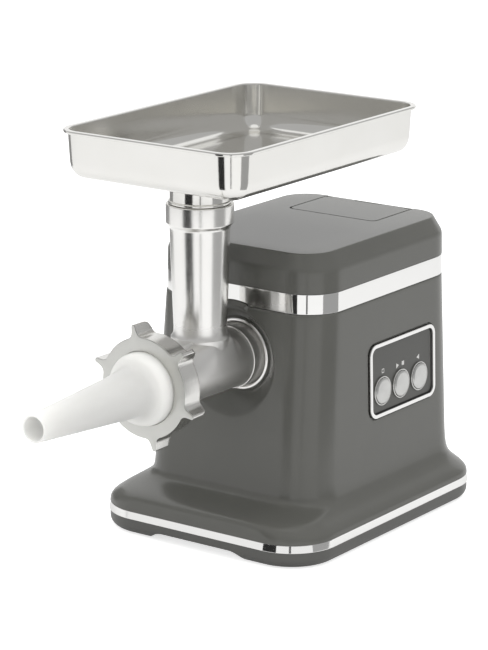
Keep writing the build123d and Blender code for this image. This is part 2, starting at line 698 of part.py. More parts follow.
# Middle shaft with its pinion, and the first gear on it
with BuildPart() as middle_shaft:
    with BuildSketch(facing(CAN_FRONT - 0.4, MIDDLE_Z)):
        Circle(MIDDLE_RADIUS)
    extrude(amount=CAN_FRONT - CASE_FRONT - 0.8)
    with BuildSketch(facing(SECOND_REAR + 1, MIDDLE_Z)):
        gear_face(PINION_TEETH, SECOND_MODULE, HALF_TOOTH)
    extrude(amount=SECOND_FACE + 1.5)

with BuildPart() as first_gear:
    with BuildSketch(facing(FIRST_REAR, MIDDLE_Z)):
        gear_face(FIRST_TEETH, FIRST_MODULE)
        Circle(MIDDLE_RADIUS + SEAT, mode=Mode.SUBTRACT)
        with PolarLocations(18, 6):
            Circle(6, mode=Mode.SUBTRACT)
    extrude(amount=FIRST_FACE)

# Motor: can with magnets, rotor with commutator and pinion, fan, brushes and end cap
CAN_WALL = 3.0
CAP_REAR = 186.0
CORE_RADIUS = 23.8
BEARING_RADIUS = 11.0
COMMUTATOR_RADIUS = 11.0
SHAFT_END = 203.0
FAN_RADIUS = 30.0

with BuildPart() as motor_can:
    with BuildSketch(facing(CAN_REAR, MOTOR_Z)):
        Circle(CAN_RADIUS)
    extrude(amount=CAN_REAR - CAN_FRONT)
    with BuildSketch(facing(CAN_REAR, MOTOR_Z)):
        Circle(CAN_RADIUS - CAN_WALL)
    extrude(amount=CAN_REAR - CAN_FRONT - 8, mode=Mode.SUBTRACT)
    with BuildSketch(facing(CAN_FRONT + 8, MOTOR_Z)):
        Circle(BEARING_RADIUS + SEAT)
        with GridLocations(MOTOR_BOLTS, 0, 2, 1):
            Circle(1.7)
    extrude(amount=8, mode=Mode.SUBTRACT)

with BuildPart() as motor_magnets:
    with BuildSketch(facing(162, MOTOR_Z)):
        Circle(CAN_RADIUS - CAN_WALL - SEAT)
        Circle(CORE_RADIUS + 0.8, mode=Mode.SUBTRACT)
        Rectangle(2 * CAN_RADIUS, 26, mode=Mode.SUBTRACT)
    extrude(amount=56)

with BuildPart() as rotor_shaft:
    with BuildSketch(facing(SHAFT_END, MOTOR_Z)):
        Circle(ROTOR_SHAFT)
    extrude(amount=SHAFT_END - FIRST_REAR + FIRST_FACE + 2)
    with BuildSketch(facing(FIRST_REAR + 2, MOTOR_Z)):
        gear_face(PINION_TEETH, FIRST_MODULE, HALF_TOOTH)
    extrude(amount=FIRST_FACE + 4)

with BuildPart() as rotor_core:
    with BuildSketch(facing(158, MOTOR_Z)):
        Circle(CORE_RADIUS)
        Circle(ROTOR_SHAFT + SEAT, mode=Mode.SUBTRACT)
        with PolarLocations(17.5, 12):
            SlotOverall(9, 4.4, mode=Mode.SUBTRACT)
    extrude(amount=48)

with BuildPart() as commutator:
    with BuildSketch(facing(174, MOTOR_Z)):
        Circle(COMMUTATOR_RADIUS)
        Circle(ROTOR_SHAFT + SEAT, mode=Mode.SUBTRACT)
        with PolarLocations(COMMUTATOR_RADIUS, 24):
            Rectangle(1.6, 0.5, mode=Mode.SUBTRACT)
    extrude(amount=13)

with BuildPart() as motor_end_cap:
    with BuildSketch(facing(CAP_REAR, MOTOR_Z)):
        Circle(CAN_RADIUS)
        with PolarLocations(25, 6, 30):
            Circle(5.5, mode=Mode.SUBTRACT)
        Circle(BEARING_RADIUS + SEAT, mode=Mode.SUBTRACT)
    extrude(amount=CAP_REAR - CAN_REAR)

with BuildPart() as motor_bearings:
    for y in (CAN_FRONT + 8, CAP_REAR):
        with BuildSketch(facing(y, MOTOR_Z)):
            Circle(BEARING_RADIUS)
            Circle(ROTOR_SHAFT + SLIP, mode=Mode.SUBTRACT)
        extrude(amount=7)

with BuildPart() as brush_set:
    with BuildSketch(facing(172, MOTOR_Z)):
        for side in (-1, 1):
            with Locations((side * (COMMUTATOR_RADIUS + 10.5), 0)):
                Rectangle(20, 7)
    extrude(amount=9)

with BuildPart() as motor_fan:
    with BuildSketch(facing(200, MOTOR_Z)):
        Circle(FAN_RADIUS)
        Circle(ROTOR_SHAFT + SEAT, mode=Mode.SUBTRACT)
    extrude(amount=1.5)
    with BuildSketch(facing(198.5, MOTOR_Z)):
        with PolarLocations(19, 9):
            Rectangle(20, 1.6, rotation=20)
    extrude(amount=9)
    with BuildSketch(facing(198.5, MOTOR_Z)):
        Circle(8)
        Circle(ROTOR_SHAFT + SEAT, mode=Mode.SUBTRACT)
    extrude(amount=10)

with BuildPart() as motor_screws:
    with BuildSketch(facing(CAN_FRONT + 7, MOTOR_Z)):
        with GridLocations(MOTOR_BOLTS, 0, 2, 1):
            Circle(1.6)
    extrude(amount=12)
    with BuildSketch(facing(COVER_PLATE_Y, MOTOR_Z)):
        with GridLocations(MOTOR_BOLTS, 0, 2, 1):
            Circle(3.4)
    extrude(amount=2.5)

with BuildPart() as motor_cradle:
    for y in (128, 164):
        with BuildSketch(facing(y, 0)):
            with Locations((0, (PAN_FLOOR + 60) / 2)):
                Rectangle(64, 60 - PAN_FLOOR)
            with Locations((0, MOTOR_Z)):
                Circle(CAN_RADIUS + 0.1, mode=Mode.SUBTRACT)
        extrude(amount=10)
    with BuildSketch(Plane.XY.offset(PAN_FLOOR)):
        with Locations((0, 141)):
            Rectangle(64, 46)
    extrude(amount=4)

# Gland for the mains lead in the rear wall
with BuildPart() as cord_gland:
    with BuildSketch(facing(GLAND_REAR_Y + 5, GLAND_Z)):
        with Locations((GLAND_X, 0)):
            Circle(GLAND_RADIUS + 3.5)
    extrude(amount=4.4)
    with BuildSketch(facing(GLAND_REAR_Y + 1, GLAND_Z)):
        with Locations((GLAND_X, 0)):
            Circle(GLAND_RADIUS)
    extrude(amount=14)
    with BuildSketch(facing(GLAND_REAR_Y - 5, GLAND_Z)):
        with Locations((GLAND_X, 0)):
            RegularPolygon(GLAND_RADIUS + 3.5, 6)
    extrude(amount=5)
    with BuildSketch(facing(GLAND_REAR_Y + 6, GLAND_Z)):
        with Locations((GLAND_X, 0)):
            Circle(4)
    extrude(amount=24, mode=Mode.SUBTRACT)

# Grinding head: barrel, bell, tail and feed tube in one casting
def saddle_section(y, half, high, corner):
    """Rounded rectangle square to Y whose top lies high above the barrel's axis."""
    with BuildSketch(facing(y)) as section:
        with Locations((0, high - 1.6 * half / 2)):
            RectangleRounded(2 * half, 1.6 * half, corner)
    return section.sketch


with BuildPart() as grinder_head:
    with BuildSketch(Plane.YZ):
        with BuildLine():
            Polyline((BELL_FRONT, HEAD_Z), (BELL_FRONT, HEAD_Z + BELL_RADIUS),
                     (BELL_REAR, HEAD_Z + BELL_RADIUS), (BELL_FOOT, HEAD_Z + BARREL_FRONT_RADIUS),
                     (COLLAR_Y, HEAD_Z + BARREL_RADIUS), (COLLAR_Y, HEAD_Z + TAIL_RADIUS),
                     (TAIL_Y, HEAD_Z + TAIL_RADIUS), (TAIL_Y, HEAD_Z), close=True)
        make_face()
    revolve(axis=head_axis())
    feed_axis = Axis((0, FEED_Y, 0), (0, 0, 1))
    with BuildSketch(Plane.YZ):
        with BuildLine():
            Polyline((FEED_Y, HEAD_Z + 12), (FEED_Y + FEED_FOOT_RADIUS, HEAD_Z + 12),
                     (FEED_Y + FEED_TOP_RADIUS, FEED_TOP), (FEED_Y + FEED_COLLAR_RADIUS, FEED_TOP + 2.5),
                     (FEED_Y + FEED_COLLAR_RADIUS, FEED_RIM - 1), (FEED_Y + FEED_COLLAR_RADIUS - 1, FEED_RIM),
                     (FEED_Y, FEED_RIM), close=True)
        make_face()
    revolve(axis=feed_axis)
    saddle_full = saddle_section(SADDLE_FULL_Y, SADDLE_HALF, SADDLE_HIGH, 8)
    loft([saddle_section(BELL_FOOT, RIB_WIDTH / 2, BARREL_FRONT_RADIUS, 4), saddle_full], ruled=True)
    extrude(saddle_full, amount=SADDLE_FULL_Y - SADDLE_REAR_Y)
    with BuildSketch(facing(FEED_Y)):
        with Locations((0, RIB_HIGH - 3)):
            Rectangle(RIB_WIDTH, 6)
    extrude(amount=FEED_Y - BELL_REAR)
    with BuildSketch(Plane.YZ):
        with BuildLine():
            Polyline((BELL_FRONT - 1, HEAD_Z), (BELL_FRONT - 1, HEAD_Z + PLATE_RADIUS + 0.2),
                     (PLATE_FRONT + PLATE_THICK, HEAD_Z + PLATE_RADIUS + 0.2),
                     (PLATE_FRONT + PLATE_THICK, HEAD_Z + CHAMBER_RADIUS),
                     (BELL_REAR, HEAD_Z + CHAMBER_RADIUS), (BELL_REAR + 6, HEAD_Z + BARREL_BORE),
                     (TAIL_Y - 7, HEAD_Z + BARREL_BORE), (TAIL_Y - 7, HEAD_Z), close=True)
        make_face()
    revolve(axis=head_axis(), mode=Mode.SUBTRACT)
    with BuildSketch(Plane.YZ):
        with BuildLine():
            Polyline((FEED_Y, HEAD_Z), (FEED_Y + BARREL_BORE - 1.5, HEAD_Z), (FEED_Y + 22.9, FEED_SHOULDER),
                     (FEED_Y + FEED_TOP_RADIUS, FEED_SHOULDER), (FEED_Y + FEED_TOP_RADIUS, FEED_RIM + 1),
                     (FEED_Y, FEED_RIM + 1), close=True)
        make_face()
    revolve(axis=feed_axis, mode=Mode.SUBTRACT)
    with BuildSketch(facing(TAIL_Y)):
        Circle(10 + SEAT)
    extrude(amount=8, mode=Mode.SUBTRACT)

with BuildPart() as auger_bush:
    with BuildSketch(facing(TAIL_Y)):
        Circle(10)
        Circle(7 + SLIP, mode=Mode.SUBTRACT)
    extrude(amount=7)

HOLE_RINGS = [(9.0, 9), (14.8, 15), (20.6, 21), (26.4, 27)]

with BuildPart() as perforated_plate:
    with BuildSketch(facing(PLATE_FRONT + PLATE_THICK)):
        Circle(PLATE_RADIUS)
        Circle(STUB_RADIUS + 0.1, mode=Mode.SUBTRACT)
        for radius, count in HOLE_RINGS:
            with PolarLocations(radius, count):
                Circle(2.3, mode=Mode.SUBTRACT)
    extrude(amount=PLATE_THICK)

# Auger with a helical flight, and the knife on its square end
KNIFE_FRONT = PLATE_FRONT + PLATE_THICK + 0.1
KNIFE_REAR = KNIFE_FRONT + KNIFE_THICK
FLIGHT_RADIUS = 20.4
FLIGHT_REAR = 14.0
FLIGHT_PITCH = 30.0
FLIGHT_THICK = 4.0
CORE_FRONT = 11.0
CORE_REAR = 8.5
KNIFE_SQUARE = 8.0


def flight_section(turn, start):
    """Radial rectangle of the flight after so many turns from the start, running to the rear."""
    angle = 2 * pi * turn
    outward = Vector(cos(angle), 0, sin(angle))
    middle = (CORE_REAR - 3 + FLIGHT_RADIUS) / 2
    place = Vector(0, start + FLIGHT_PITCH * turn, HEAD_Z) + outward * middle
    with BuildSketch(Plane(origin=place, x_dir=outward, z_dir=(-sin(angle), 0, cos(angle)))) as section:
        Rectangle(FLIGHT_RADIUS - CORE_REAR + 3, FLIGHT_THICK)
    return section.sketch


with BuildPart() as auger:
    flight_start = KNIFE_REAR + FLIGHT_THICK / 2 + 0.5
    flight_turns = (FLIGHT_REAR - flight_start) / FLIGHT_PITCH
    loft([flight_section(step / 16, flight_start) for step in range(int(16 * flight_turns) + 1)], ruled=True)
    with BuildSketch(Plane.YZ):
        with BuildLine():
            Polyline((KNIFE_FRONT - 5.4, HEAD_Z), (KNIFE_FRONT - 5.4, HEAD_Z + STUB_RADIUS),
                     (KNIFE_REAR, HEAD_Z + STUB_RADIUS), (KNIFE_REAR, HEAD_Z + CORE_FRONT),
                     (FLIGHT_REAR + 4, HEAD_Z + CORE_REAR), (TAIL_Y - 7.2, HEAD_Z + CORE_REAR),
                     (TAIL_Y - 7.2, HEAD_Z + 7), (TAIL_Y + 0.3, HEAD_Z + 7), (TAIL_Y + 0.3, HEAD_Z),
                     close=True)
        make_face()
    revolve(axis=head_axis())
    with BuildSketch(facing(KNIFE_REAR)):
        Rectangle(KNIFE_SQUARE, KNIFE_SQUARE)
    extrude(amount=KNIFE_THICK - 0.3)
    with BuildSketch(facing(SHAFT_FRONT + 12)):
        RegularPolygon(HEX_SIZE / 2, 6, major_radius=False)
    extrude(amount=SHAFT_FRONT + 12 - TAIL_Y)

with BuildPart() as knife:
    with BuildSketch(facing(KNIFE_REAR)):
        Circle(10.5)
        with PolarLocations(18, 4):
            Rectangle(21, 8)
        Rectangle(KNIFE_SQUARE + 0.1, KNIFE_SQUARE + 0.1, mode=Mode.SUBTRACT)
    extrude(amount=KNIFE_THICK)

# Ring nut with six ears
with BuildPart() as ring_nut:
    with BuildSketch(facing(NUT_FRONT + NUT_THICK)) as nut_face:
        Circle(NUT_RADIUS)
        with PolarLocations(0, 6, EAR_TURN):
            Polygon((NUT_RADIUS - 4, -EAR_BASE / 2), (EAR_REACH, -EAR_TIP / 2),
                    (EAR_REACH, EAR_TIP / 2), (NUT_RADIUS - 4, EAR_BASE / 2), align=None)
        fillet(nut_face.vertices().sort_by_distance((0, 0, 0))[:12], 5)
        fillet(nut_face.vertices().sort_by_distance((0, 0, 0))[-12:], 1.5)
    extrude(amount=NUT_THICK)
    with BuildSketch(facing(NUT_FRONT + NUT_THICK)):
        Circle(BELL_RADIUS + 0.4)
    extrude(amount=NUT_THICK - NUT_LIP, mode=Mode.SUBTRACT)
    with BuildSketch(facing(NUT_FRONT + NUT_THICK)):
        Circle(NUT_MOUTH)
    extrude(amount=NUT_THICK, mode=Mode.SUBTRACT)

# Stuffing tube: flange behind the nut's lip, dome in its mouth, long cone
FLANGE_RADIUS = 35.5
CONE_Y = -119.0
DOME_Y = -114.0
CONE_RADIUS = TUBE_TIP_RADIUS + TUBE_SLOPE * (CONE_Y - TUBE_TIP_Y)

with BuildPart() as stuffing_tube:
    with BuildSketch(Plane.YZ):
        with BuildLine():
            outer = FilletPolyline((NUT_FRONT + NUT_LIP, HEAD_Z + DOME_RADIUS),
                                   (DOME_Y, HEAD_Z + DOME_RADIUS), (CONE_Y, HEAD_Z + CONE_RADIUS),
                                   (TUBE_TIP_Y, HEAD_Z + TUBE_TIP_RADIUS),
                                   radius=(8.0, 10.0))
            inner = FilletPolyline((TUBE_TIP_Y, HEAD_Z + TUBE_TIP_RADIUS - TUBE_WALL),
                                   (CONE_Y + 1, HEAD_Z + CONE_RADIUS - TUBE_WALL),
                                   (DOME_Y + 2, HEAD_Z + DOME_RADIUS - 2 * TUBE_WALL),
                                   (PLATE_FRONT - 0.05, HEAD_Z + DOME_RADIUS - 2 * TUBE_WALL),
                                   radius=(9.0, 3.0))
            Line(outer @ 1, inner @ 0)
            Polyline(inner @ 1, (PLATE_FRONT - 0.05, HEAD_Z + FLANGE_RADIUS),
                     (NUT_FRONT + NUT_LIP + 0.05, HEAD_Z + FLANGE_RADIUS),
                     (NUT_FRONT + NUT_LIP + 0.05, HEAD_Z + DOME_RADIUS), outer @ 0)
        make_face()
    revolve(axis=head_axis())

# Tray: pressed sheet with a rolled rim and a round hole for its neck
WALL_HALF = TRAY_HALF - RIM_WIDTH + SHEET
WALL_FRONT = TRAY_FRONT + RIM_WIDTH - SHEET
WALL_REAR = TRAY_REAR - RIM_WIDTH + SHEET
WALL_CORNER = TRAY_CORNER - RIM_WIDTH + SHEET
LEAN = (TRAY_RIM - TRAY_FLOOR) * tan(TRAY_DRAFT * pi / 180)


def tray_block(floor, thinner, edge):
    """Drafted block with a rounded lower edge, drawn in by a sheet's thickness where asked."""
    with BuildPart(mode=Mode.PRIVATE) as block:
        foot = LEAN + thinner
        loft([plan(floor, WALL_HALF - foot, WALL_FRONT + foot, WALL_REAR - foot, WALL_CORNER - foot),
              plan(TRAY_RIM, WALL_HALF - thinner, WALL_FRONT + thinner, WALL_REAR - thinner,
                   WALL_CORNER - thinner)], ruled=True)
        fillet(block.edges().group_by(Axis.Z)[0], edge)
    return block.part


outer_tray = tray_block(TRAY_FLOOR, 0, TRAY_ROUND)
inner_tray = tray_block(TRAY_FLOOR + SHEET, SHEET, TRAY_ROUND - SHEET)

with BuildPart() as tray:
    add(outer_tray)
    extrude(plan(TRAY_RIM, TRAY_HALF, TRAY_FRONT, TRAY_REAR, TRAY_CORNER), amount=-RIM_HIGH)
    fillet(tray.edges().group_by(Axis.Z)[-1], 1.2)
    add(inner_tray, mode=Mode.SUBTRACT)
    with BuildSketch(Plane.XY.offset(TRAY_FLOOR - SHEET)):
        with Locations((0, FEED_Y)):
            Circle(NECK_RADIUS + SEAT)
    extrude(amount=3 * SHEET, mode=Mode.SUBTRACT)

# Neck pressed into the tray's floor: a tube with a flange under the sheet and a bead that stops on the collar
NECK_FOOT = FEED_SHOULDER + 0.5
NECK_TUBE_TOP = TRAY_FLOOR + SHEET
BEAD_REACH = 1.4
BEAD_HIGH = 2.6

with BuildPart() as tray_neck:
    with BuildSketch(Plane.XY.offset(FEED_RIM + 0.1)):
        with Locations((0, FEED_Y)):
            Circle(NECK_RADIUS + BEAD_REACH)
    extrude(amount=BEAD_HIGH)
    fillet(tray_neck.edges().filter_by(GeomType.CIRCLE), 1.2)
    with BuildSketch(Plane.XY.offset(NECK_FOOT)):
        with Locations((0, FEED_Y)):
            Circle(NECK_RADIUS)
    extrude(amount=NECK_TUBE_TOP - NECK_FOOT)
    with BuildSketch(Plane.XY.offset(TRAY_FLOOR)):
        with Locations((0, FEED_Y)):
            Circle(NECK_RADIUS + BEAD_REACH)
    extrude(amount=-SHEET)
    with BuildSketch(Plane.XY.offset(NECK_FOOT)):
        with Locations((0, FEED_Y)):
            Circle(NECK_BORE)
    extrude(amount=NECK_TUBE_TOP - NECK_FOOT, mode=Mode.SUBTRACT)

PIECES = {
    "housing_shell": housing_shell, "upper_band": upper_band, "top_cover": top_cover,
    "storage_lid": storage_lid, "lid_pin": lid_pin, "storage_well": storage_well,
    "base_strip": base_strip, "base_pan": base_pan, "rubber_feet": rubber_feet, "base_screws": base_screws,
    "panel_frame": panel_frame, "panel_plate": panel_plate, "button_bezels": button_bezels,
    "button_reverse": button_reverse, "button_power": button_power, "button_forward": button_forward,
    "control_board": control_board, "push_switches": push_switches,
    "socket_sleeve": socket_sleeve, "socket_screws": socket_screws,
    "gearcase": gearcase, "gear_cover": gear_cover, "gearcase_screws": gearcase_screws,
    "output_bushes": output_bushes, "middle_bushes": middle_bushes,
    "output_shaft": output_shaft, "output_gear": output_gear,
    "middle_shaft": middle_shaft, "first_gear": first_gear,
    "motor_can": motor_can, "motor_magnets": motor_magnets, "rotor_shaft": rotor_shaft,
    "rotor_core": rotor_core, "commutator": commutator, "motor_end_cap": motor_end_cap,
    "motor_bearings": motor_bearings, "brush_set": brush_set, "motor_fan": motor_fan,
    "motor_screws": motor_screws, "motor_cradle": motor_cradle, "cord_gland": cord_gland,
    "grinder_head": grinder_head, "auger_bush": auger_bush, "perforated_plate": perforated_plate,
    "auger": auger, "knife": knife, "ring_nut": ring_nut, "stuffing_tube": stuffing_tube,
    "tray": tray, "tray_neck": tray_neck,
}

os.makedirs("parts", exist_ok=True)
for name, piece in PIECES.items():
    piece.part.label = name
    export_step(piece.part, f"parts/{name}.step")
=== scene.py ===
# %% [markdown]
# An electric meat grinder for the kitchen counter: a grey moulded housing with bright trim, a cast grinding head with
# a feed tube, a pressed steel tray on top, a ring nut with ears and a white stuffing tube.
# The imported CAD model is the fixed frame. It is loaded first, so every later piece can be placed by its numbers.

# %% Load the frame
import json
from math import atan, cos, radians, sin, tan

import bmesh
import bpy
import numpy as np
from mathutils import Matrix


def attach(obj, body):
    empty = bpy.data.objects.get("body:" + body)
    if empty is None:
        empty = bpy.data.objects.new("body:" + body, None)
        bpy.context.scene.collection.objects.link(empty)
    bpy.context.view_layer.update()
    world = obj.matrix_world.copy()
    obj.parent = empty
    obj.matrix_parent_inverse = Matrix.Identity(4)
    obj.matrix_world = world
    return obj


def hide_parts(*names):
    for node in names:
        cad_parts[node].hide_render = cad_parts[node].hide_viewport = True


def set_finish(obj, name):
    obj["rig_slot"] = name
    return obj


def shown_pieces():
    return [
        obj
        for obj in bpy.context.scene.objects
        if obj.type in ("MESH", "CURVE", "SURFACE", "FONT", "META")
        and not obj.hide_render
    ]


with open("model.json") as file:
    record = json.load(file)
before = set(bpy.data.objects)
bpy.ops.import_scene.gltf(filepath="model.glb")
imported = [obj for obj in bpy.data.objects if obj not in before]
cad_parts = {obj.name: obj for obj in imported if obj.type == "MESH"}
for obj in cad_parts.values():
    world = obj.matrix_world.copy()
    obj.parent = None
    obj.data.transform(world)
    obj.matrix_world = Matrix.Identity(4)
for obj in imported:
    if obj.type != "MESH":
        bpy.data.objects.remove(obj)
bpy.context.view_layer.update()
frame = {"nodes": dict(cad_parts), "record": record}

# %% [markdown]
# The camera stands to the right of the barrel, a little above the object, with a long lens, so upright edges stay
# nearly parallel. Its place comes from the straight and round edges that the picture shows.

# %% Camera
LENS, SENSOR, FAR_CLIP = 160.92, 36.0, 50.0
CAMERA_PLACE, CAMERA_DROP, CAMERA_TURN = (1.3826, -1.8798, 0.8144), 15.029, 35.87
camera_data = bpy.data.cameras.new("camera")
camera_data.lens = LENS
camera_data.sensor_width = SENSOR
camera_data.clip_end = FAR_CLIP
camera = bpy.data.objects.new("camera", camera_data)
camera.location = CAMERA_PLACE
camera.rotation_euler = (radians(90 - CAMERA_DROP), 0, radians(CAMERA_TURN))
bpy.context.scene.collection.objects.link(camera)
bpy.context.scene.camera = camera
print("camera at", tuple(camera.location))

# %% [markdown]
# Every shape below is a grid of points. A grid could be filled by loops over its vertices, but whole numpy arrays are
# quicker and show the formula. The first helper numbers the four-sided faces between neighbouring points, the second
# closes the open ends of a stack of rings, and the third puts such skins into one mesh. Shapes are drawn in
# millimetres and stored in metres.

# %% From grid to mesh
MM = 0.001
MERGE = 0.001 * MM


def quads(rings, spokes, wrap_rings=False):
    """Faces between neighbours of a grid. Point (i, j) has number i * spokes + j, and j runs round a closed ring;
    a wrapped stack also joins its last ring to its first."""
    i = np.arange(rings if wrap_rings else rings - 1)[:, None]
    j = np.arange(spokes)[None, :]
    after_i, after_j = (i + 1) % rings, (j + 1) % spokes
    corners = [i * spokes + j, i * spokes + after_j, after_i * spokes + after_j, after_i * spokes + j]
    return np.stack(corners, axis=-1).reshape(-1, 4)


def skin(grid, wrap_rings=False):
    """Points and faces of a closed skin: rings joined by quads, and a flat face over each open end."""
    rings, spokes = grid.shape[:2]
    faces = [quads(rings, spokes, wrap_rings)]
    if not wrap_rings:
        faces.append(np.arange(spokes)[None, ::-1])
        faces.append((rings - 1) * spokes + np.arange(spokes)[None, :])
    return grid.reshape(-1, 3), faces


def fill_mesh(name, skins):
    """Mesh from skins in millimetres. All faces lie one after another in one list of corners; doubles are merged
    and every closed skin has its faces turned outward."""
    counts = np.cumsum([0] + [len(points) for points, _ in skins])
    tables = [table + start for (_, faces), start in zip(skins, counts) for table in faces]
    sizes = np.concatenate([np.full(len(table), table.shape[1]) for table in tables])
    mesh = bpy.data.meshes.new(name)
    mesh.vertices.add(counts[-1])
    mesh.vertices.foreach_set("co", (np.concatenate([points for points, _ in skins]) * MM).ravel())
    mesh.loops.add(int(sizes.sum()))
    mesh.loops.foreach_set("vertex_index", np.concatenate([table.ravel() for table in tables]).astype(np.int32))
    mesh.polygons.add(len(sizes))
    mesh.polygons.foreach_set("loop_start", np.concatenate([[0], np.cumsum(sizes)[:-1]]).astype(np.int32))
    mesh.update(calc_edges=True)
    work = bmesh.new()
    work.from_mesh(mesh)
    bmesh.ops.remove_doubles(work, verts=work.verts, dist=MERGE)
    bmesh.ops.recalc_face_normals(work, faces=work.faces)
    work.to_mesh(mesh)
    work.free()
    return mesh


def new_object(name, skins):
    """Object at the origin that holds the skins as one mesh."""
    piece = bpy.data.objects.new(name, fill_mesh(name, skins))
    bpy.context.scene.collection.objects.link(piece)
    return piece


def apply_modifiers(piece):
    """Replaces the mesh by what its modifiers make of it."""
    bpy.context.view_layer.update()
    seen = piece.evaluated_get(bpy.context.evaluated_depsgraph_get())
    old = piece.data
    piece.data = bpy.data.meshes.new_from_object(seen)
    piece.modifiers.clear()
    bpy.data.meshes.remove(old)


def carve(piece, skins, operation="DIFFERENCE"):
    """Cuts the skins from the piece, or joins them to it, with an exact Boolean, and clears faces with no area."""
    tool = new_object("tool", skins)
    step = piece.modifiers.new("carve", "BOOLEAN")
    step.operation = operation
    step.solver = "EXACT"
    step.object = tool
    apply_modifiers(piece)
    cut = bmesh.new()
    cut.from_mesh(piece.data)
    bmesh.ops.dissolve_degenerate(cut, edges=cut.edges, dist=MERGE)
    cut.to_mesh(piece.data)
    cut.free()
    old = tool.data
    bpy.data.objects.remove(tool)
    bpy.data.meshes.remove(old)


def finish_piece(piece, body, slot, replaced=(), sharp=32.0):
    """Smooth shading with crisp edges above the given angle, then the piece's body, slot and CAD nodes."""
    piece.data.polygons.foreach_set("use_smooth", np.ones(len(piece.data.polygons), bool))
    piece.data.set_sharp_from_angle(angle=radians(sharp))
    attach(piece, body)
    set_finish(piece, slot)
    if replaced:
        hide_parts(*replaced)
    print(piece.name, "has", len(piece.data.polygons), "faces and rides on", body)


# %% [markdown]
# Three ways of drawing cover almost the whole machine. A rounded rectangle stacked at several heights gives the
# housing, its trim and the tray. A profile turned about an axis gives barrel, nozzle and buttons. A line carried
# straight along an axis gives ribs and cut-outs. A corner of a profile is rounded by a short curve, because a moulded
# or pressed edge is never knife sharp and its small round is what catches the light.

# %% Rounded rectangles, turned and straight profiles, soft corners
def ring_template(front, side, corner):
    """Points of a rounded rectangle: how far its arc's centre lies to each side (-1 to 1) and the angle on the arc.
    A straight run keeps its angle while the centre slides from one corner to the next."""
    slide_f, slide_s = (np.linspace(-1, 1, n, endpoint=False) for n in (front, side))
    turn = np.linspace(0, np.pi / 2, corner, endpoint=False)
    one_f, one_s, one_c = np.ones(front), np.ones(side), np.ones(corner)
    x = np.concatenate([slide_f, one_c, one_s, one_c, -slide_f, -one_c, -one_s, -one_c])
    y = np.concatenate([-one_f, -one_c, slide_s, one_c, one_f, one_c, -slide_s, -one_c])
    angle = np.concatenate([-np.pi / 2 * one_f, turn - np.pi / 2, 0 * one_s, turn, np.pi / 2 * one_f,
                            turn + np.pi / 2, np.pi * one_s, turn + np.pi])
    return x, y, angle


FRONT_POINTS = 48
HOUSING_RING = ring_template(FRONT_POINTS, 40, 20)
SMALL_RING = ring_template(2, 2, 10)


def rounded_rings(half, front, rear, corner, z, template=HOUSING_RING):
    """Stack of rounded rectangles. x is the slide times (half - corner) plus corner times the cosine of the angle;
    y is the same with the sine, about the middle of front and rear."""
    half, front, rear, corner, z = (np.asarray(value, float)[..., None] for value in
                                    np.broadcast_arrays(*map(np.atleast_1d, (half, front, rear, corner, z))))
    slide_x, slide_y, angle = template
    x = slide_x * (half - corner) + corner * np.cos(angle)
    y = (front + rear) / 2 + slide_y * ((rear - front) / 2 - corner) + corner * np.sin(angle)
    return np.stack([x, y, np.broadcast_to(z, x.shape)], axis=-1)


def inset_rings(half, front, rear, corner, profile, template=HOUSING_RING):
    """The same rounded rectangle drawn in by the first column of the profile, at the heights of the second."""
    inset, z = np.asarray(profile, float).T
    return rounded_rings(half - inset, front + inset, rear - inset, corner - inset, z, template)


SAME_POINT = 1e-5


def soften(points, cut, steps=6, closed=False):
    """Rounds the corners of a profile. Each corner becomes (1 - t)^2 A + 2 t (1 - t) corner + t^2 B, where A and B
    lie on its two edges at the distance that cut gives."""
    points = np.asarray(points, float)
    cut = np.array(np.broadcast_to(cut, len(points)), float)
    if not closed:
        cut[[0, -1]] = 0
    back, ahead = np.roll(points, 1, axis=0) - points, np.roll(points, -1, axis=0) - points
    start = points + back / np.linalg.norm(back, axis=1, keepdims=True) * cut[:, None]
    end = points + ahead / np.linalg.norm(ahead, axis=1, keepdims=True) * cut[:, None]
    t = np.linspace(0, 1, steps + 1)[None, :, None]
    curve = (1 - t) ** 2 * start[:, None] + 2 * t * (1 - t) * points[:, None] + t ** 2 * end[:, None]
    curve = curve.reshape(-1, points.shape[1])
    return curve[np.r_[True, np.linalg.norm(np.diff(curve, axis=0), axis=1) > SAME_POINT]]


def put(grid, origin, right, up, out):
    """Carries local points (a, b, c) to origin + a right + b up + c out."""
    return np.asarray(grid) @ np.array([right, up, out], float) + np.array(origin, float)


def turned(profile, spokes, origin, right, up, out):
    """Profile of (radius, distance along the axis) carried round the axis: a and b are radius times cosine and sine,
    and c is the distance."""
    radius, along = np.asarray(profile, float).T[:, :, None]
    angle = np.linspace(0, 2 * np.pi, spokes, endpoint=False)[None, :]
    local = np.stack([radius * np.cos(angle), radius * np.sin(angle), along + 0 * angle], axis=-1)
    return put(local, origin, right, up, out)


def extruded(line, axis, ends):
    """Line of two coordinates carried straight along the third axis, from the first end to the second."""
    return np.stack([np.insert(np.asarray(line, float), axis, end, axis=1) for end in ends])


HEAD_Z, FEED_Y = 158.0, -29.1
UPRIGHT = dict(right=(1, 0, 0), up=(0, 1, 0), out=(0, 0, 1))
HEAD_AXIS = dict(origin=(0, 0, HEAD_Z), right=(1, 0, 0), up=(0, 0, 1), out=(0, 1, 0))
FEED_AXIS = dict(origin=(0, FEED_Y, 0), **UPRIGHT)
print("one housing ring has", len(HOUSING_RING[0]), "points")

# %% [markdown]
# The housing is one moulded column of ABS with draft on its walls, a raked front and a foot that flares out to the
# base. The flare is a smooth step, 1 / (1 + (height / middle) ^ sharpness), the same one that the solid uses.
# A box with a Bevel would give the corners but not the flare, so the wall is a grid of rings over height. Where the
# foot runs out nearly level the rings lie at even steps along its front line, so no facet grows too long.

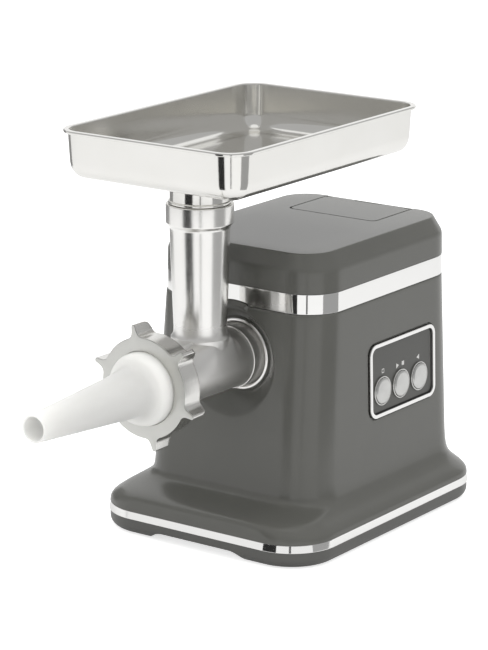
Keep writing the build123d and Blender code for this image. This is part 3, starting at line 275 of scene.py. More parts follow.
# %% Housing wall
COLUMN_Y, BAND_BOTTOM, BAND_TOP = 123.9, 202.2, 219.6
BAND_HALF, BAND_REACH, BAND_CORNER = 86.3, 106.6, 34.0
STRIP_BOTTOM, STRIP_TOP = 14.7, 21.6
STRIP = dict(half=111.7, front=-38.4, rear=243.8, corner=42.6)
SIDE_DRAFT, FRONT_RAKE, FRONT_STEP = 0.026, 0.085, 1.4
FLARE_TOP, FLARE_UNIT = 60.0, 35.6
SIDE_FLARE, FRONT_FLARE, CORNER_FLARE = (0.37, 3.0), (0.477, 11.0), (0.65, 4.0)


def soft_step(z, middle, sharpness):
    """Falls from 1 at the strip to 0 at the flare's top: 1 / (1 + (height / middle) ^ sharpness), shifted to end at 0.
    Height is counted from the strip, in flare units."""
    height = (np.clip(z, STRIP_TOP, FLARE_TOP) - STRIP_TOP) / FLARE_UNIT
    rest = 1 / (1 + ((FLARE_TOP - STRIP_TOP) / FLARE_UNIT / middle) ** sharpness)
    return (1 / (1 + (height / middle) ** sharpness) - rest) / (1 - rest)


def front_wall(z):
    """Y of the front wall without its flare: the band's front, a small step and a rake with the drop."""
    return COLUMN_Y - BAND_REACH - FRONT_STEP - FRONT_RAKE * (BAND_BOTTOM - z)


def wall_rings(z, inset):
    """Outline of the column at each height: straight drafted walls plus the flare, drawn in by the inset."""
    drop, foot = BAND_BOTTOM - z, BAND_BOTTOM - STRIP_TOP
    side, front, bend = (soft_step(z, *flare) for flare in (SIDE_FLARE, FRONT_FLARE, CORNER_FLARE))
    half = BAND_HALF + SIDE_DRAFT * drop + side * (STRIP["half"] - BAND_HALF - SIDE_DRAFT * foot)
    rear = COLUMN_Y + BAND_REACH
    rear = rear + SIDE_DRAFT * drop + side * (STRIP["rear"] - rear - SIDE_DRAFT * foot)
    front = front_wall(z) + front * (STRIP["front"] - front_wall(STRIP_TOP))
    corner = BAND_CORNER + bend * (STRIP["corner"] - BAND_CORNER)
    return rounded_rings(half - inset, front + inset, rear - inset, corner - inset, z)


FINE_STEPS, FLARE_ROWS, LOWER_ROWS, DISH_ROWS, EDGE_ROWS = 2000, 64, 7, 37, 5
DISH_BOTTOM, EDGE_ROUND = 100.0, 1.4
edge_start = BAND_BOTTOM - EDGE_ROUND
fine_z = np.linspace(STRIP_TOP, FLARE_TOP, FINE_STEPS)
foot_line = wall_rings(fine_z, np.zeros(FINE_STEPS))[:, FRONT_POINTS // 2]
foot_length = np.r_[0, np.cumsum(np.linalg.norm(np.diff(foot_line, axis=0), axis=1))]
flare_z = np.interp(np.linspace(0, foot_length[-1], FLARE_ROWS), foot_length, fine_z)
lower_z = np.linspace(FLARE_TOP, DISH_BOTTOM, LOWER_ROWS)[1:]
dish_z = np.linspace(DISH_BOTTOM, edge_start, DISH_ROWS)[1:]
edge = np.linspace(0, np.pi / 2, EDGE_ROWS)[1:]
levels = np.concatenate([flare_z, lower_z, dish_z, edge_start + EDGE_ROUND * np.sin(edge)])
insets = np.concatenate([np.zeros(len(levels) - len(edge)), EDGE_ROUND * (1 - np.cos(edge))])
wall = wall_rings(levels, insets)
low_row = len(flare_z) + len(lower_z) - 1
high_row = low_row + len(dish_z)
print("housing wall grid", wall.shape, "with the dish between rows", low_row, "and", high_row)

# %% [markdown]
# A shallow dish round the socket is sunk into the front wall. A Boolean with a cone would leave a hard rim, so the
# flat field between two rows is left out of the grid and filled by spokes that run from its border to the socket.
# Depth along a spoke is a soft maximum of wall and cone: mean plus the root of (half difference)^2 + round^2.

# %% Dish round the socket
border = np.concatenate([wall[low_row, :FRONT_POINTS], wall[low_row:high_row, FRONT_POINTS],
                         wall[high_row, FRONT_POINTS:0:-1], wall[high_row:low_row:-1, 0]])
spoke = np.arctan2(border[:, 2] - HEAD_Z, border[:, 0])
reach = np.hypot(border[:, 2] - HEAD_Z, border[:, 0])
CONE_SLOPE, DISH_RADIUS, DISH_EDGE_Y = 0.93, 32.5, 24.0
RIM_BAND, RIM_SOFT = 4.0, 0.6
FIELD_ROWS, RIM_ROWS, CONE_ROWS = 7, 17, 5
SOCKET_STEP = np.array([[31.8, 25.0], [29.8, 25.4], [29.8, 40.0]])
rim = (DISH_EDGE_Y + CONE_SLOPE * DISH_RADIUS - front_wall(HEAD_Z)) / (CONE_SLOPE + FRONT_RAKE * np.sin(spoke))
field = rim + RIM_BAND + (reach - rim - RIM_BAND) * np.linspace(1, 0, FIELD_ROWS)[1:, None]
over_rim = rim + np.linspace(RIM_BAND, -RIM_BAND, RIM_ROWS)[1:, None]
cone = DISH_RADIUS + (rim - RIM_BAND - DISH_RADIUS) * np.linspace(1, 0, CONE_ROWS)[1:, None]
radius = np.concatenate([field, over_rim, cone])
plane_y = front_wall(HEAD_Z + radius * np.sin(spoke))
cone_y = DISH_EDGE_Y - CONE_SLOPE * (radius - DISH_RADIUS)
depth = (plane_y + cone_y) / 2 + np.sqrt(((plane_y - cone_y) / 2) ** 2 + RIM_SOFT ** 2)
radius = np.concatenate([radius, np.repeat(SOCKET_STEP[:, :1], len(spoke), axis=1)])
depth = np.concatenate([depth, np.repeat(SOCKET_STEP[:, 1:], len(spoke), axis=1)])
dish = np.stack([radius * np.cos(spoke), depth, HEAD_Z + radius * np.sin(spoke)], axis=-1)
dish = np.concatenate([border[None], dish])
print("dish rim runs from", round(rim.min(), 1), "to", round(rim.max(), 1), "mm from the axis")

# %% [markdown]
# Wall and dish meet in the same points, so they merge into one skin. It could be drawn twice, outside and inside, but
# a moulded wall is even, so a Solidify modifier gives it its thickness inward.

# %% Housing shell
WALL = 2.6
wall_faces = quads(*wall.shape[:2]).reshape(wall.shape[0] - 1, wall.shape[1], 4)
kept = np.ones(wall_faces.shape[:2], bool)
kept[low_row:high_row, :FRONT_POINTS] = False
housing = new_object("housing_column", [(wall.reshape(-1, 3), [wall_faces[kept]]),
                                        (dish.reshape(-1, 3), [quads(*dish.shape[:2])])])
thick = housing.modifiers.new("wall", "SOLIDIFY")
thick.thickness = WALL * MM
thick.offset = -1
apply_modifiers(housing)
print("housing shell has", len(housing.data.polygons), "faces")

# %% [markdown]
# The side wall has a window for the control panel, with a shallow pocket round it that leaves a dark groove beside
# the panel's frame. The rear wall has cooling slots and a hole for the cord's gland. These are plain cut-outs of the
# mould, so prisms with round ends are cut from the finished wall.

# %% Window, slots and gland hole
PANEL_Z, PANEL_Y = 130.3, COLUMN_Y + 17.4
tilt = atan(SIDE_DRAFT)
PANEL = dict(origin=(BAND_HALF + SIDE_DRAFT * (BAND_BOTTOM - PANEL_Z), PANEL_Y, PANEL_Z),
             right=(0, 1, 0), up=(-sin(tilt), 0, cos(tilt)), out=(cos(tilt), 0, sin(tilt)))
REAR = dict(right=(-1, 0, 0), up=(0, 0, 1), out=(0, 1, 0))
HAIR = 0.001


def prism(half, high, corner, low, top, **place):
    """Rounded rectangle of half width and half height, carried straight from low to top along its own axis."""
    return skin(put(rounded_rings(half, -high, high, corner, [low, top], SMALL_RING), **place))


def round_prism(half, radius, low, top, **place):
    """Prism with half circles for ends. Its corner is a hair below the radius, so its sides keep a direction."""
    return prism(half, radius, radius - HAIR, low, top, **place)


PANEL_HALF, PANEL_HIGH, PANEL_CORNER = 50.85, 32.4, 9.5
PANEL_LAP, WINDOW_CORNER, GROOVE, GROOVE_DEEP = 2.7, 6.5, 1.5, 2.0
SIDE_CUT, REAR_CUT = 8, 12
SLOT_HALF, SLOT_RADIUS, SLOT_PITCH = 22, 1.8, 9
SLOT_X, SLOT_Y, SLOT_Z = 26, 232, 128.0
GLAND_PLACE, GLAND_RADIUS = (-46, 234, 72.0), 8.3
window = prism(PANEL_HALF - PANEL_LAP, PANEL_HIGH - PANEL_LAP, WINDOW_CORNER, -SIDE_CUT, SIDE_CUT, **PANEL)
pocket = prism(PANEL_HALF + GROOVE, PANEL_HIGH + GROOVE, PANEL_CORNER + GROOVE, -GROOVE_DEEP, SIDE_CUT, **PANEL)
slots = [round_prism(SLOT_HALF, SLOT_RADIUS, -REAR_CUT, REAR_CUT,
                     origin=(x, SLOT_Y, SLOT_Z + SLOT_PITCH * row), **REAR)
         for x in (-SLOT_X, SLOT_X) for row in range(-3, 4)]
gland_hole = round_prism(GLAND_RADIUS, GLAND_RADIUS, -REAR_CUT, REAR_CUT, origin=GLAND_PLACE, **REAR)
carve(housing, [pocket])
carve(housing, [window, gland_hole, *slots])
finish_piece(housing, "housing", "housing_grey", ["housing_shell"])

# %% [markdown]
# A bright band sits between the column and the top cover, and a narrow strip runs round the foot. On the real
# machine both are chromed trim pressed into a groove. Each is one closed profile carried round the housing's outline.
# The strip's face leans back a little, so it mirrors the room and not the table in front of it.

# %% Chrome band and foot strip
TRIM_ROUND, TRIM_PLAY = 0.4, 0.2


def flat_trim(low, high, back):
    """Profile of a trim: a straight face from low to high with small rounds, and a back. Two more points on the face,
    a tenth of its length from the ends, keep its shading flat between the rounds."""
    low, high = np.array(low), np.array(high)
    return soften([low, 0.9 * low + 0.1 * high, 0.1 * low + 0.9 * high, high, (back, high[1]), (back, low[1])],
                  [TRIM_ROUND, 0, 0, TRIM_ROUND, 0, 0], closed=True)


BAND = dict(half=BAND_HALF, front=COLUMN_Y - BAND_REACH, rear=COLUMN_Y + BAND_REACH, corner=BAND_CORNER)
BAND_INSET, BAND_BACK = 0.1, 2.2
band_profile = flat_trim((BAND_INSET, BAND_BOTTOM + TRIM_PLAY), (BAND_INSET, BAND_TOP - TRIM_PLAY), BAND_BACK)
band = new_object("chrome_band", [skin(inset_rings(**BAND, profile=band_profile), True)])
finish_piece(band, "housing", "bright_trim", ["upper_band"])
STRIP_INSET, STRIP_BACK, STRIP_LEAN = 0.5, 3.2, 11.5
strip_foot = STRIP_INSET - (STRIP_TOP - STRIP_BOTTOM) * tan(radians(STRIP_LEAN))
strip_profile = flat_trim((strip_foot, STRIP_BOTTOM + TRIM_PLAY), (STRIP_INSET, STRIP_TOP - TRIM_PLAY), STRIP_BACK)
strip = new_object("foot_strip", [skin(inset_rings(**STRIP, profile=strip_profile), True)])
finish_piece(strip, "housing", "bright_trim", ["base_strip"])

# %% [markdown]
# The top cover is a shallow moulded cap: an upright wall, a broad sloping shoulder and a flat top with the mouth of
# the storage well. A Bevel on a box would round all its edges alike. Here each edge has its own round, because the
# rings are softened along all five numbers of the outline.

# %% Top cover
COVER_TOP, SHOULDER_Z, COVER_LIP, COVER_DRAFT = 252.3, 239.2, 4, 0.4


def cover_row(inset, z):
    """Half width, front, rear, corner and height of the band's outline drawn in by the inset."""
    return [BAND_HALF - inset, COLUMN_Y - BAND_REACH + inset, COLUMN_Y + BAND_REACH - inset, BAND_CORNER - inset, z]


top_row = [76.9, COLUMN_Y - 100, COLUMN_Y + 100, 26.0, COVER_TOP]
flat_row = [60.0, COLUMN_Y - 83, COLUMN_Y + 83, 14.0, COVER_TOP]
cover_rows = soften([cover_row(COVER_LIP, BAND_TOP), cover_row(0, BAND_TOP), cover_row(COVER_DRAFT, SHOULDER_Z),
                     top_row, flat_row], [0, 0.8, 3.2, 1.5, 0], steps=10)
cover = new_object("top_cover_cap", [skin(rounded_rings(*cover_rows.T))])
print("top cover drawn with", len(cover_rows), "rings")

# %% [markdown]
# The lid lies in a shallow mouth of the cover, and the shaft of the storage well goes down from it. Three knuckles at
# the mouth's rear edge carry the lid's pin. A knuckle could be a cylinder on a block, but it is moulded in one piece,
# so one line runs round the pin and down both sides, and is carried across.

# %% Lid mouth and knuckles
HINGE_Y, HINGE_Z = COLUMN_Y + 98.3, 249.6
LID_HALF, LID_FRONT, LID_REAR = 45.9, COLUMN_Y + 36.1, HINGE_Y + 4.7
MOUTH_CORNER, MOUTH_SPAN = 6.0, (245.0, 260.0)
SHAFT_HALF, SHAFT_LONG, SHAFT_Y, SHAFT_SPAN = 43.0, 28.0, COLUMN_Y + 66.0, (210.0, 247.0)
mouth_y, mouth_long = (LID_FRONT + LID_REAR) / 2, (LID_REAR - LID_FRONT) / 2
carve(cover, [prism(LID_HALF, mouth_long, MOUTH_CORNER, *MOUTH_SPAN, origin=(0, mouth_y, 0), **UPRIGHT)])
carve(cover, [prism(SHAFT_HALF, SHAFT_LONG, MOUTH_CORNER, *SHAFT_SPAN, origin=(0, SHAFT_Y, 0), **UPRIGHT)])
KNUCKLE_RADIUS, KNUCKLE_TURN, KNUCKLE_FOOT = 2.6, 234.8, -10
KNUCKLE_SPANS = (-44.1, -38.4), (-13.6, 13.6), (38.4, 44.1)
bend = np.linspace(radians(KNUCKLE_TURN), 0, 24)
round_top = KNUCKLE_RADIUS * np.stack([np.cos(bend), np.sin(bend)], -1)
knuckle_line = np.concatenate([[(-1.5, KNUCKLE_FOOT)], round_top, [(2.9, 0), (2.9, KNUCKLE_FOOT)]])
carve(cover, [skin(extruded(knuckle_line + [HINGE_Y, HINGE_Z], 0, span)) for span in KNUCKLE_SPANS], "UNION")
finish_piece(cover, "housing", "housing_grey", ["top_cover"])

# %% [markdown]
# The base pan is a shallow moulded tray with a quarter-round lower edge. Between the front feet it is arched for
# fingertips. The ring stack gives the round, and the arch, foot seats, screw wells and air slots are cut from it.

# %% Base pan
PAN_BOTTOM, PAN_ROUND, PAN_TOP = 1.0, 8.0, 22.5
quarter = np.linspace(0, np.pi / 2, 14)
pan_edge = np.stack([PAN_ROUND * (1 - np.sin(quarter)), PAN_BOTTOM + PAN_ROUND * (1 - np.cos(quarter))], axis=-1)
ledge = STRIP_BOTTOM + TRIM_PLAY
pan_profile = np.concatenate([pan_edge, [(0, ledge), (STRIP_BACK, ledge), (3.9, PAN_TOP), (12, PAN_TOP)]])
pan = new_object("base_pan_moulding", [skin(inset_rings(**STRIP, profile=pan_profile))])
arch_line = soften([(-57.8, -3), (-40, 7.7), (40, 7.7), (57.8, -3)], [0, 6, 6, 0])
ARCH_SPAN, BELOW = (-60, -15.4), -2
SEAT_RADIUS, SEAT_DEEP, SEAT_X, SEAT_Y = 10.1, 3, (-82, 82), (-13, 198)
SCREW_RADIUS, SCREW_DEEP, SCREW_X, SCREW_Y = 3.6, 4.2, (-84, 84), (6, 216)
GILL_HALF, GILL_DEEP, GILL_PITCH, GILL_Y = 35, 5, 8, COLUMN_Y + 45
seats = [round_prism(SEAT_RADIUS, SEAT_RADIUS, BELOW, SEAT_DEEP, origin=(x, y, 0), **UPRIGHT)
         for x in SEAT_X for y in SEAT_Y]
wells = [round_prism(SCREW_RADIUS, SCREW_RADIUS, BELOW, SCREW_DEEP, origin=(x, y, 0), **UPRIGHT)
         for x in SCREW_X for y in SCREW_Y]
gills = [round_prism(GILL_HALF, SLOT_RADIUS, BELOW, GILL_DEEP, origin=(0, GILL_Y + GILL_PITCH * row, 0), **UPRIGHT)
         for row in range(-2, 3)]
carve(pan, [skin(extruded(arch_line, 1, ARCH_SPAN)), *seats, *wells, *gills])
finish_piece(pan, "housing", "base_grey", ["base_pan"])

# %% [markdown]
# The control panel is a recessed plate in a bright frame, with a thin black gasket at the frame's foot. Frame and
# gasket could be bent curves with a bevel, but a profile carried round the panel's outline keeps their inner edges
# upright.

# %% Panel frame and gasket
PANEL_RING = ring_template(12, 8, 12)


def panel_trim(name, profile):
    """Closed profile of (inset, height above the wall), carried round the panel's outline."""
    rings = inset_rings(PANEL_HALF, -PANEL_HIGH, PANEL_HIGH, PANEL_CORNER, profile, PANEL_RING)
    return new_object(name, [skin(put(rings, **PANEL), True)])


frame_profile = soften([(0, -2.2), (0, 1.9), (3.4, 1.9), (3.4, -2.2)], [0, 0.5, 0.4, 0], closed=True)
finish_piece(panel_trim("panel_frame_trim", frame_profile), "housing", "bright_trim", ["panel_frame"])
gasket_profile = soften([(3.3, -0.6), (3.3, 0.1), (4.5, 0.1), (4.5, -0.6)], [0, 0, 0.2, 0], closed=True)
finish_piece(panel_trim("panel_gasket", gasket_profile), "housing", "rubber")

# %% [markdown]
# Three round metal buttons stand in bright rings. Each is a turned cap with a rounded edge, on its own sprung body, so
# it is a piece of its own. The rings don't move, so they are one piece.

# %% Rings and buttons
BUTTON_X, BUTTON_Y = (-30.8, -2.2, 26.4), -10.3
BUTTON_NAMES, BUTTON_SPOKES = ("reverse", "power", "forward"), 64


def on_panel(a, b):
    """Panel axes with their origin moved to local point (a, b)."""
    return {**PANEL, "origin": put((a, b, 0), **PANEL)}


ring_profile = soften([(12.8, -0.4), (12.8, 1.2), (11.5, 1.2), (11.5, -4.2), (12.05, -4.2), (12.05, -0.4)],
                      [0, 0.6, 0.5, 0, 0, 0], closed=True)
rings = new_object("button_rings", [skin(turned(ring_profile, BUTTON_SPOKES, **on_panel(a, BUTTON_Y)), True)
                                    for a in BUTTON_X])
finish_piece(rings, "housing", "button_ring", ["button_bezels"])
cap_profile = soften([(12.8, -5.9), (12.8, -4.3), (11.2, -4.3), (11.2, 1.5), (9.7, 2.3), (0.3, 2.5)],
                     [0, 0, 0, 0.4, 0.4, 0], steps=8)
for name, a in zip(BUTTON_NAMES, BUTTON_X):
    cap = new_object(f"button_cap_{name}", [skin(turned(cap_profile, BUTTON_SPOKES, **on_panel(a, BUTTON_Y)))])
    finish_piece(cap, f"{name}_button", "button_face", [f"button_{name}"])

# %% [markdown]
# Above the buttons the plate carries small printed signs for the directions of turning: triangles and squares, the
# usual ones for run and stop. A print is a film of paint, so each sign is a flat prism a tenth of a millimetre proud.

# %% Signs above the buttons
FILM_SPAN = -0.5, -0.1


def film(outline, a, b):
    """Outline of points moved to local point (a, b) and carried from under the plate's face to 0.1 mm above it."""
    return skin(put(extruded(outline + [a, b], 2, FILM_SPAN), **PANEL))


SIGN_X, SIGN_Y = -29.1, 6.7
FLAT_BAR, UPRIGHT_BAR, BAR_STEP = (1, 0.18), (0.18, 0.7), 1.5
square = 1.8 * np.array([(-1, -1), (1, -1), (1, 1), (-1, 1)])
arrow = np.array([(-2.0, -2.3), (2.2, 0.0), (-2.0, 2.3)])
bars = [film(square * FLAT_BAR, SIGN_X, SIGN_Y + step) for step in (BAR_STEP, -BAR_STEP)]
bars += [film(square * UPRIGHT_BAR, SIGN_X + step, SIGN_Y) for step in (-BAR_STEP, BAR_STEP)]
signs = [*bars, film(arrow, -6.4, 6.2), film(square, 2.0, SIGN_Y), film(-arrow, 25.7, SIGN_Y)]
signs = new_object("panel_signs", signs)
finish_piece(signs, "housing", "button_ring")

# %% [markdown]
# The grinding head is one polished casting. Its barrel widens to a bell at the front and has a flat-backed saddle under
# the feed tube. The saddle could be a block joined to the barrel, but a casting has no such seam, so the barrel's
# radius itself grows towards a rounded square, (|cos / half| ^ 5 + |sin / height| ^ 5) ^ (-1 / 5), and back.

# %% Barrel and saddle
SADDLE_HALF, SADDLE_HIGH, SADDLE_POWER = 24.9, 27.6, 5
SADDLE_FRONT, SADDLE_GROWTH, SADDLE_REAR, SADDLE_END = -68, 30, -14, 14
OUTER_RADIUS, BARREL_SPOKES = 24, 160


def ease(t):
    """Smooth step from 0 to 1: 3 t^2 - 2 t^3 of t held between 0 and 1."""
    t = np.clip(t, 0, 1)
    return t * t * (3 - 2 * t)


bell = soften([(30.5, -84), (30.5, -94), (32.5, -94), (32.5, -98.5), (36.9, -98.5), (36.9, -84), (24.4, -68),
               (24.5, -60)], [0, 0, 0, 0.4, 0.6, 2.5, 4.0, 0])
tail = soften([(25.4, 7.5), (26.2, 10.4), (26.9, 10.6), (26.9, 38.9), (10.02, 38.9), (10.02, 31.9), (21, 31.9),
               (21, -78)], [0, 0, 0.3, 0.8, 0, 0, 0, 0])
along = np.linspace(-59, 7, 34)
sleeve = np.stack([np.interp(along, (-60, 8), (24.5, 25.4)), along], -1)
radius, along = np.concatenate([bell, sleeve, tail]).T[:, :, None]
barrel_angle = np.linspace(0, 2 * np.pi, BARREL_SPOKES, endpoint=False)
wide, high = np.abs(np.cos(barrel_angle)) / SADDLE_HALF, np.maximum(np.sin(barrel_angle), 0) / SADDLE_HIGH
saddle = (wide ** SADDLE_POWER + high ** SADDLE_POWER) ** (-1 / SADDLE_POWER)
grown = ease((along - SADDLE_FRONT) / SADDLE_GROWTH) * (1 - ease((along - SADDLE_REAR) / SADDLE_END))
grown = grown * (radius > OUTER_RADIUS) * (np.sin(barrel_angle) > 0)
radius = radius + grown * np.maximum(saddle - radius, 0)
barrel = np.stack([radius * np.cos(barrel_angle), along + 0 * radius, HEAD_Z + radius * np.sin(barrel_angle)], -1)
head = new_object("grinder_casting", [skin(barrel, True)])
print("barrel grid", barrel.shape)

# %% [markdown]
# The feed tube is slightly conical and ends in a collar. Its foot has a fillet, length times e ^ (-height above the
# saddle / fade). A raised strip runs from it to the bell. Tube and strip are joined to the barrel by Booleans, and the
# throat is cut through all of them, because the real one is bored after casting.

# %% Feed tube
FILLET, FILLET_Z, FILLET_FADE = 2.6, 185.6, 2.2
FEED_SPOKES, RIB_SPAN, CAST_SHARP = 112, (-89, -33), 28
tube_top = soften([(24.9, 272), (25.2, 279), (28.1, 281.5), (28.1, 297.7), (20.0, 297.7)], [0, 2.0, 1.2, 1.0, 0])
tube_z = np.concatenate([[168], np.linspace(184, 197, 27), np.linspace(201, 268, 15)])
tube_line = np.concatenate([np.stack([np.interp(tube_z, (168, 279), (21.1, 25.2)), tube_z], -1), tube_top])
tube_line[:, 0] += FILLET * np.exp(-np.maximum(tube_line[:, 1] - FILLET_Z, 0) / FILLET_FADE)
rib_line = soften([(-9.5, 17.0), (9.5, 17.0), (9.5, 28.3), (-9.5, 28.3)], [0, 0, 1.2, 1.2], closed=True)
carve(head, [skin(turned(tube_line, FEED_SPOKES, **FEED_AXIS))], "UNION")
carve(head, [skin(extruded(rib_line + [0, HEAD_Z], 1, RIB_SPAN))], "UNION")
throat_line = [(19.5, 158), (22.9, 283.5), (25.2, 283.5), (25.2, 300)]
carve(head, [skin(turned(throat_line, FEED_SPOKES, **FEED_AXIS))])
finish_piece(head, "head", "polished_alloy", ["grinder_head"], CAST_SHARP)

# %% [markdown]
# The head stands in a turned socket ring whose rounded lip shows as a bright circle in the dish. Its whole section is
# one closed profile, so no Bevel is needed for the lip.

# %% Socket ring
ROUND_SPOKES = 128
socket_profile = soften([(38, 44), (38, 40), (29.4, 40), (29.4, 26.2), (31.4, 26.2), (31.4, 22.6), (28.9, 22.6),
                         (27.2, 25.0), (27.2, 44)], [0, 0, 0, 0, 0, 2.3, 0, 0, 0], steps=10, closed=True)
socket = new_object("socket_ring", [skin(turned(socket_profile, ROUND_SPOKES, **HEAD_AXIS), True)])
finish_piece(socket, "housing", "socket_chrome", ["socket_sleeve"])

# %% [markdown]
# The ring nut is a casting with six ears for the hand. The outline could be a circle with ears joined to it, but then
# its edges would need rounds of their own. One ear is drawn as a softened line, half of the ring on each side of it,
# and turned six times.

# %% Outline of the ring nut
NUT_RADIUS, EARS, EAR_TURN = 42.1, 6, 41.5
EAR_REACH, EAR_FOOT, EAR_TIP = 52.5, 3.87, 1.7
FOOT_ROUND, TIP_ROUND, ARC_POINTS, ARC_STOP = 4.6, 1.5, 13, 0.12
flank_foot = np.arctan(EAR_FOOT / NUT_RADIUS)
arc = np.r_[np.linspace(np.pi / EARS, flank_foot + ARC_STOP, ARC_POINTS), flank_foot]
half_ear = np.concatenate([NUT_RADIUS * np.stack([np.cos(arc), np.sin(arc)], -1), [(EAR_REACH, EAR_TIP)]])
ear = np.concatenate([half_ear, (half_ear * [1, -1])[-1:0:-1]])
ear_cut = np.zeros(len(ear))
ear_cut[ARC_POINTS:ARC_POINTS + 4] = FOOT_ROUND, TIP_ROUND, TIP_ROUND, FOOT_ROUND
ear = soften(ear, ear_cut, steps=7)
turns = np.radians(EAR_TURN + 360 / EARS * np.arange(EARS))[:, None]
outline = np.stack([ear[:, 0] * np.cos(turns) + ear[:, 1] * np.sin(turns),
                    ear[:, 0] * np.sin(turns) - ear[:, 1] * np.cos(turns)], -1).reshape(-1, 2)
along_line = np.roll(outline, -1, axis=0) - np.roll(outline, 1, axis=0)
inward = along_line[:, ::-1] * [-1, 1] / np.linalg.norm(along_line, axis=1, keepdims=True)
inward *= -np.sign((inward * outline).sum(axis=1).mean())
print("outline of the ring nut has", len(outline), "points")

# %% [markdown]
# The outline is carried from the front face to the rear and back through the bore. The small rounds at its edges draw
# the outline in along its own normal, and the rings of the bore are plain circles with as many points. A limit on the
# radius that falls in a quarter circle, inner radius + root of (round^2 - way^2), rounds the ears off to the rear.

# %% Ring nut
NUT_FRONT, NUT_REAR, EAR_ROUND, LIP_REAR, BORE_STEP = -106.0, -86.0, 7.0, -102, 4
sweep = np.radians(np.arange(0, 81, 10))
ear_line = np.stack([0 * sweep, NUT_REAR - EAR_ROUND * (1 - np.sin(sweep))], -1)
nut_section = soften(np.concatenate([[(0, NUT_FRONT)], ear_line, [
    (0, NUT_REAR), (5.0, NUT_REAR), (4.8, LIP_REAR), (11.3, LIP_REAR), (11.3, NUT_FRONT)]]),
    [0.8] + [0] * len(ear_line) + [0.8, 0, 0, 0, 0.5], closed=True)
step = nut_section[:, :1, None]
past_start = np.clip(nut_section[:, 1:] - (NUT_REAR - EAR_ROUND), 0, EAR_ROUND)
limit = EAR_REACH - EAR_ROUND + np.sqrt(EAR_ROUND ** 2 - past_start ** 2)
nut_angle = np.arctan2(outline[:, 1], outline[:, 0])
circle = np.stack([np.cos(nut_angle), np.sin(nut_angle)], -1)
nut = np.where(step < BORE_STEP, outline + step * inward, (NUT_RADIUS - step) * circle)
nut *= np.minimum(1, limit / np.linalg.norm(nut, axis=-1))[..., None]
nut = np.stack([nut[..., 0], nut_section[:, 1:] + 0 * nut[..., 0], HEAD_Z + nut[..., 1]], -1)
nut = new_object("ring_nut_casting", [skin(nut, True)])
finish_piece(nut, "nut", "satin_alloy", ["ring_nut"])

# %% [markdown]
# The stuffing tube is a thin cone of white food-grade plastic with a dome that fills the nut's mouth and a flange
# behind the lip. One closed profile, outside and inside, is turned about the barrel's axis.

# %% Stuffing tube
tube_profile = soften([(35.5, -99.05), (35.5, -101.95), (30.5, -101.95), (30.5, -115), (20.5, -119.5), (11.4, -243.8),
                       (9.6, -243.8), (18.9, -118), (26.9, -111.5), (26.9, -99.05)],
                      [0, 0, 0, 6.0, 5.0, 0.5, 0.7, 5, 3, 0], steps=12, closed=True)
tube = new_object("stuffing_tube_cone", [skin(turned(tube_profile, ROUND_SPOKES, **HEAD_AXIS), True)])
finish_piece(tube, "tube", "white_plastic", ["stuffing_tube"])

# %% [markdown]
# The tray is pressed from one sheet of stainless steel: drafted walls, a rolled rim and a large round at the floor.
# Its rings run up the outside, over the rim and down the inside. On the floor each ring is a mix of the rounded
# outline and the circle of the neck, so inside and underside meet at the hole and the skin closes on itself.

# %% Tray
TRAY = dict(half=92.4, front=-104.5, rear=166.6, corner=22.5)
TRAY_FLOOR, TRAY_RIM, SHEET, TRAY_DRAFT = 318.5, 359.8, 1, 3
RIM_WIDE, RIM_HIGH, FLOOR_INSET, FLOOR_ROUND, RIM_ROUND = 3.7, 3, 22, 15.8, 1.3
lean = (TRAY_RIM - TRAY_FLOOR) * tan(radians(TRAY_DRAFT))
inner, top_of_floor, rim_foot = RIM_WIDE + SHEET, TRAY_FLOOR + SHEET, TRAY_RIM - RIM_HIGH
press = soften([(FLOOR_INSET, TRAY_FLOOR), (RIM_WIDE + lean, TRAY_FLOOR), (RIM_WIDE, rim_foot), (0, rim_foot),
                (0, TRAY_RIM), (inner, TRAY_RIM), (inner + lean, top_of_floor), (FLOOR_INSET, top_of_floor)],
               [0, FLOOR_ROUND, 0.8, RIM_ROUND, RIM_ROUND, RIM_ROUND, FLOOR_ROUND - SHEET, 0], steps=12)
shell = inset_rings(**TRAY, profile=press, template=ring_template(40, 56, 20))
NECK_HOLE, FLOOR_ROWS = 24.82, 9
neck_way = np.arctan2(shell[0, :, 1] - FEED_Y, shell[0, :, 0])
neck_edge = np.stack([NECK_HOLE * np.cos(neck_way), FEED_Y + NECK_HOLE * np.sin(neck_way), 0 * neck_way], -1)
mix = np.linspace(0, 1, FLOOR_ROWS)[1:, None, None]
floor_in = shell[-1] * (1 - mix) + (neck_edge + [0, 0, top_of_floor]) * mix
floor_out = shell[0] * (1 - mix) + (neck_edge + [0, 0, TRAY_FLOOR]) * mix
tray = new_object("tray_pressing", [skin(np.concatenate([shell, floor_in, floor_out[::-1]]), True)])
finish_piece(tray, "tray", "tray_steel", ["tray"])

# %% [markdown]
# The neck under the tray drops into the feed tube and has a flange under the tray's floor. It is spun from a short
# piece of tube, so its closed section is turned about the tube's axis.

# %% Neck of the tray
NECK_SPOKES = 96
neck_profile = soften([(23.8, 284), (24.8, 284), (24.8, 297.8), (26.2, 297.8), (26.2, 300.4), (24.8, 300.4),
                       (24.8, 317.4), (26.2, 317.5), (26.2, 318.5), (24.8, 318.5), (24.8, 319.5), (23.8, 319.5)],
                      [0, 0, 0, 1.2, 1.2, 0.4, 0.6, 0.4, 0, 0, 0, 0.3], closed=True)
neck = new_object("tray_neck_tube", [skin(turned(neck_profile, NECK_SPOKES, **FEED_AXIS), True)])
finish_piece(neck, "tray", "tray_steel", ["tray_neck"])
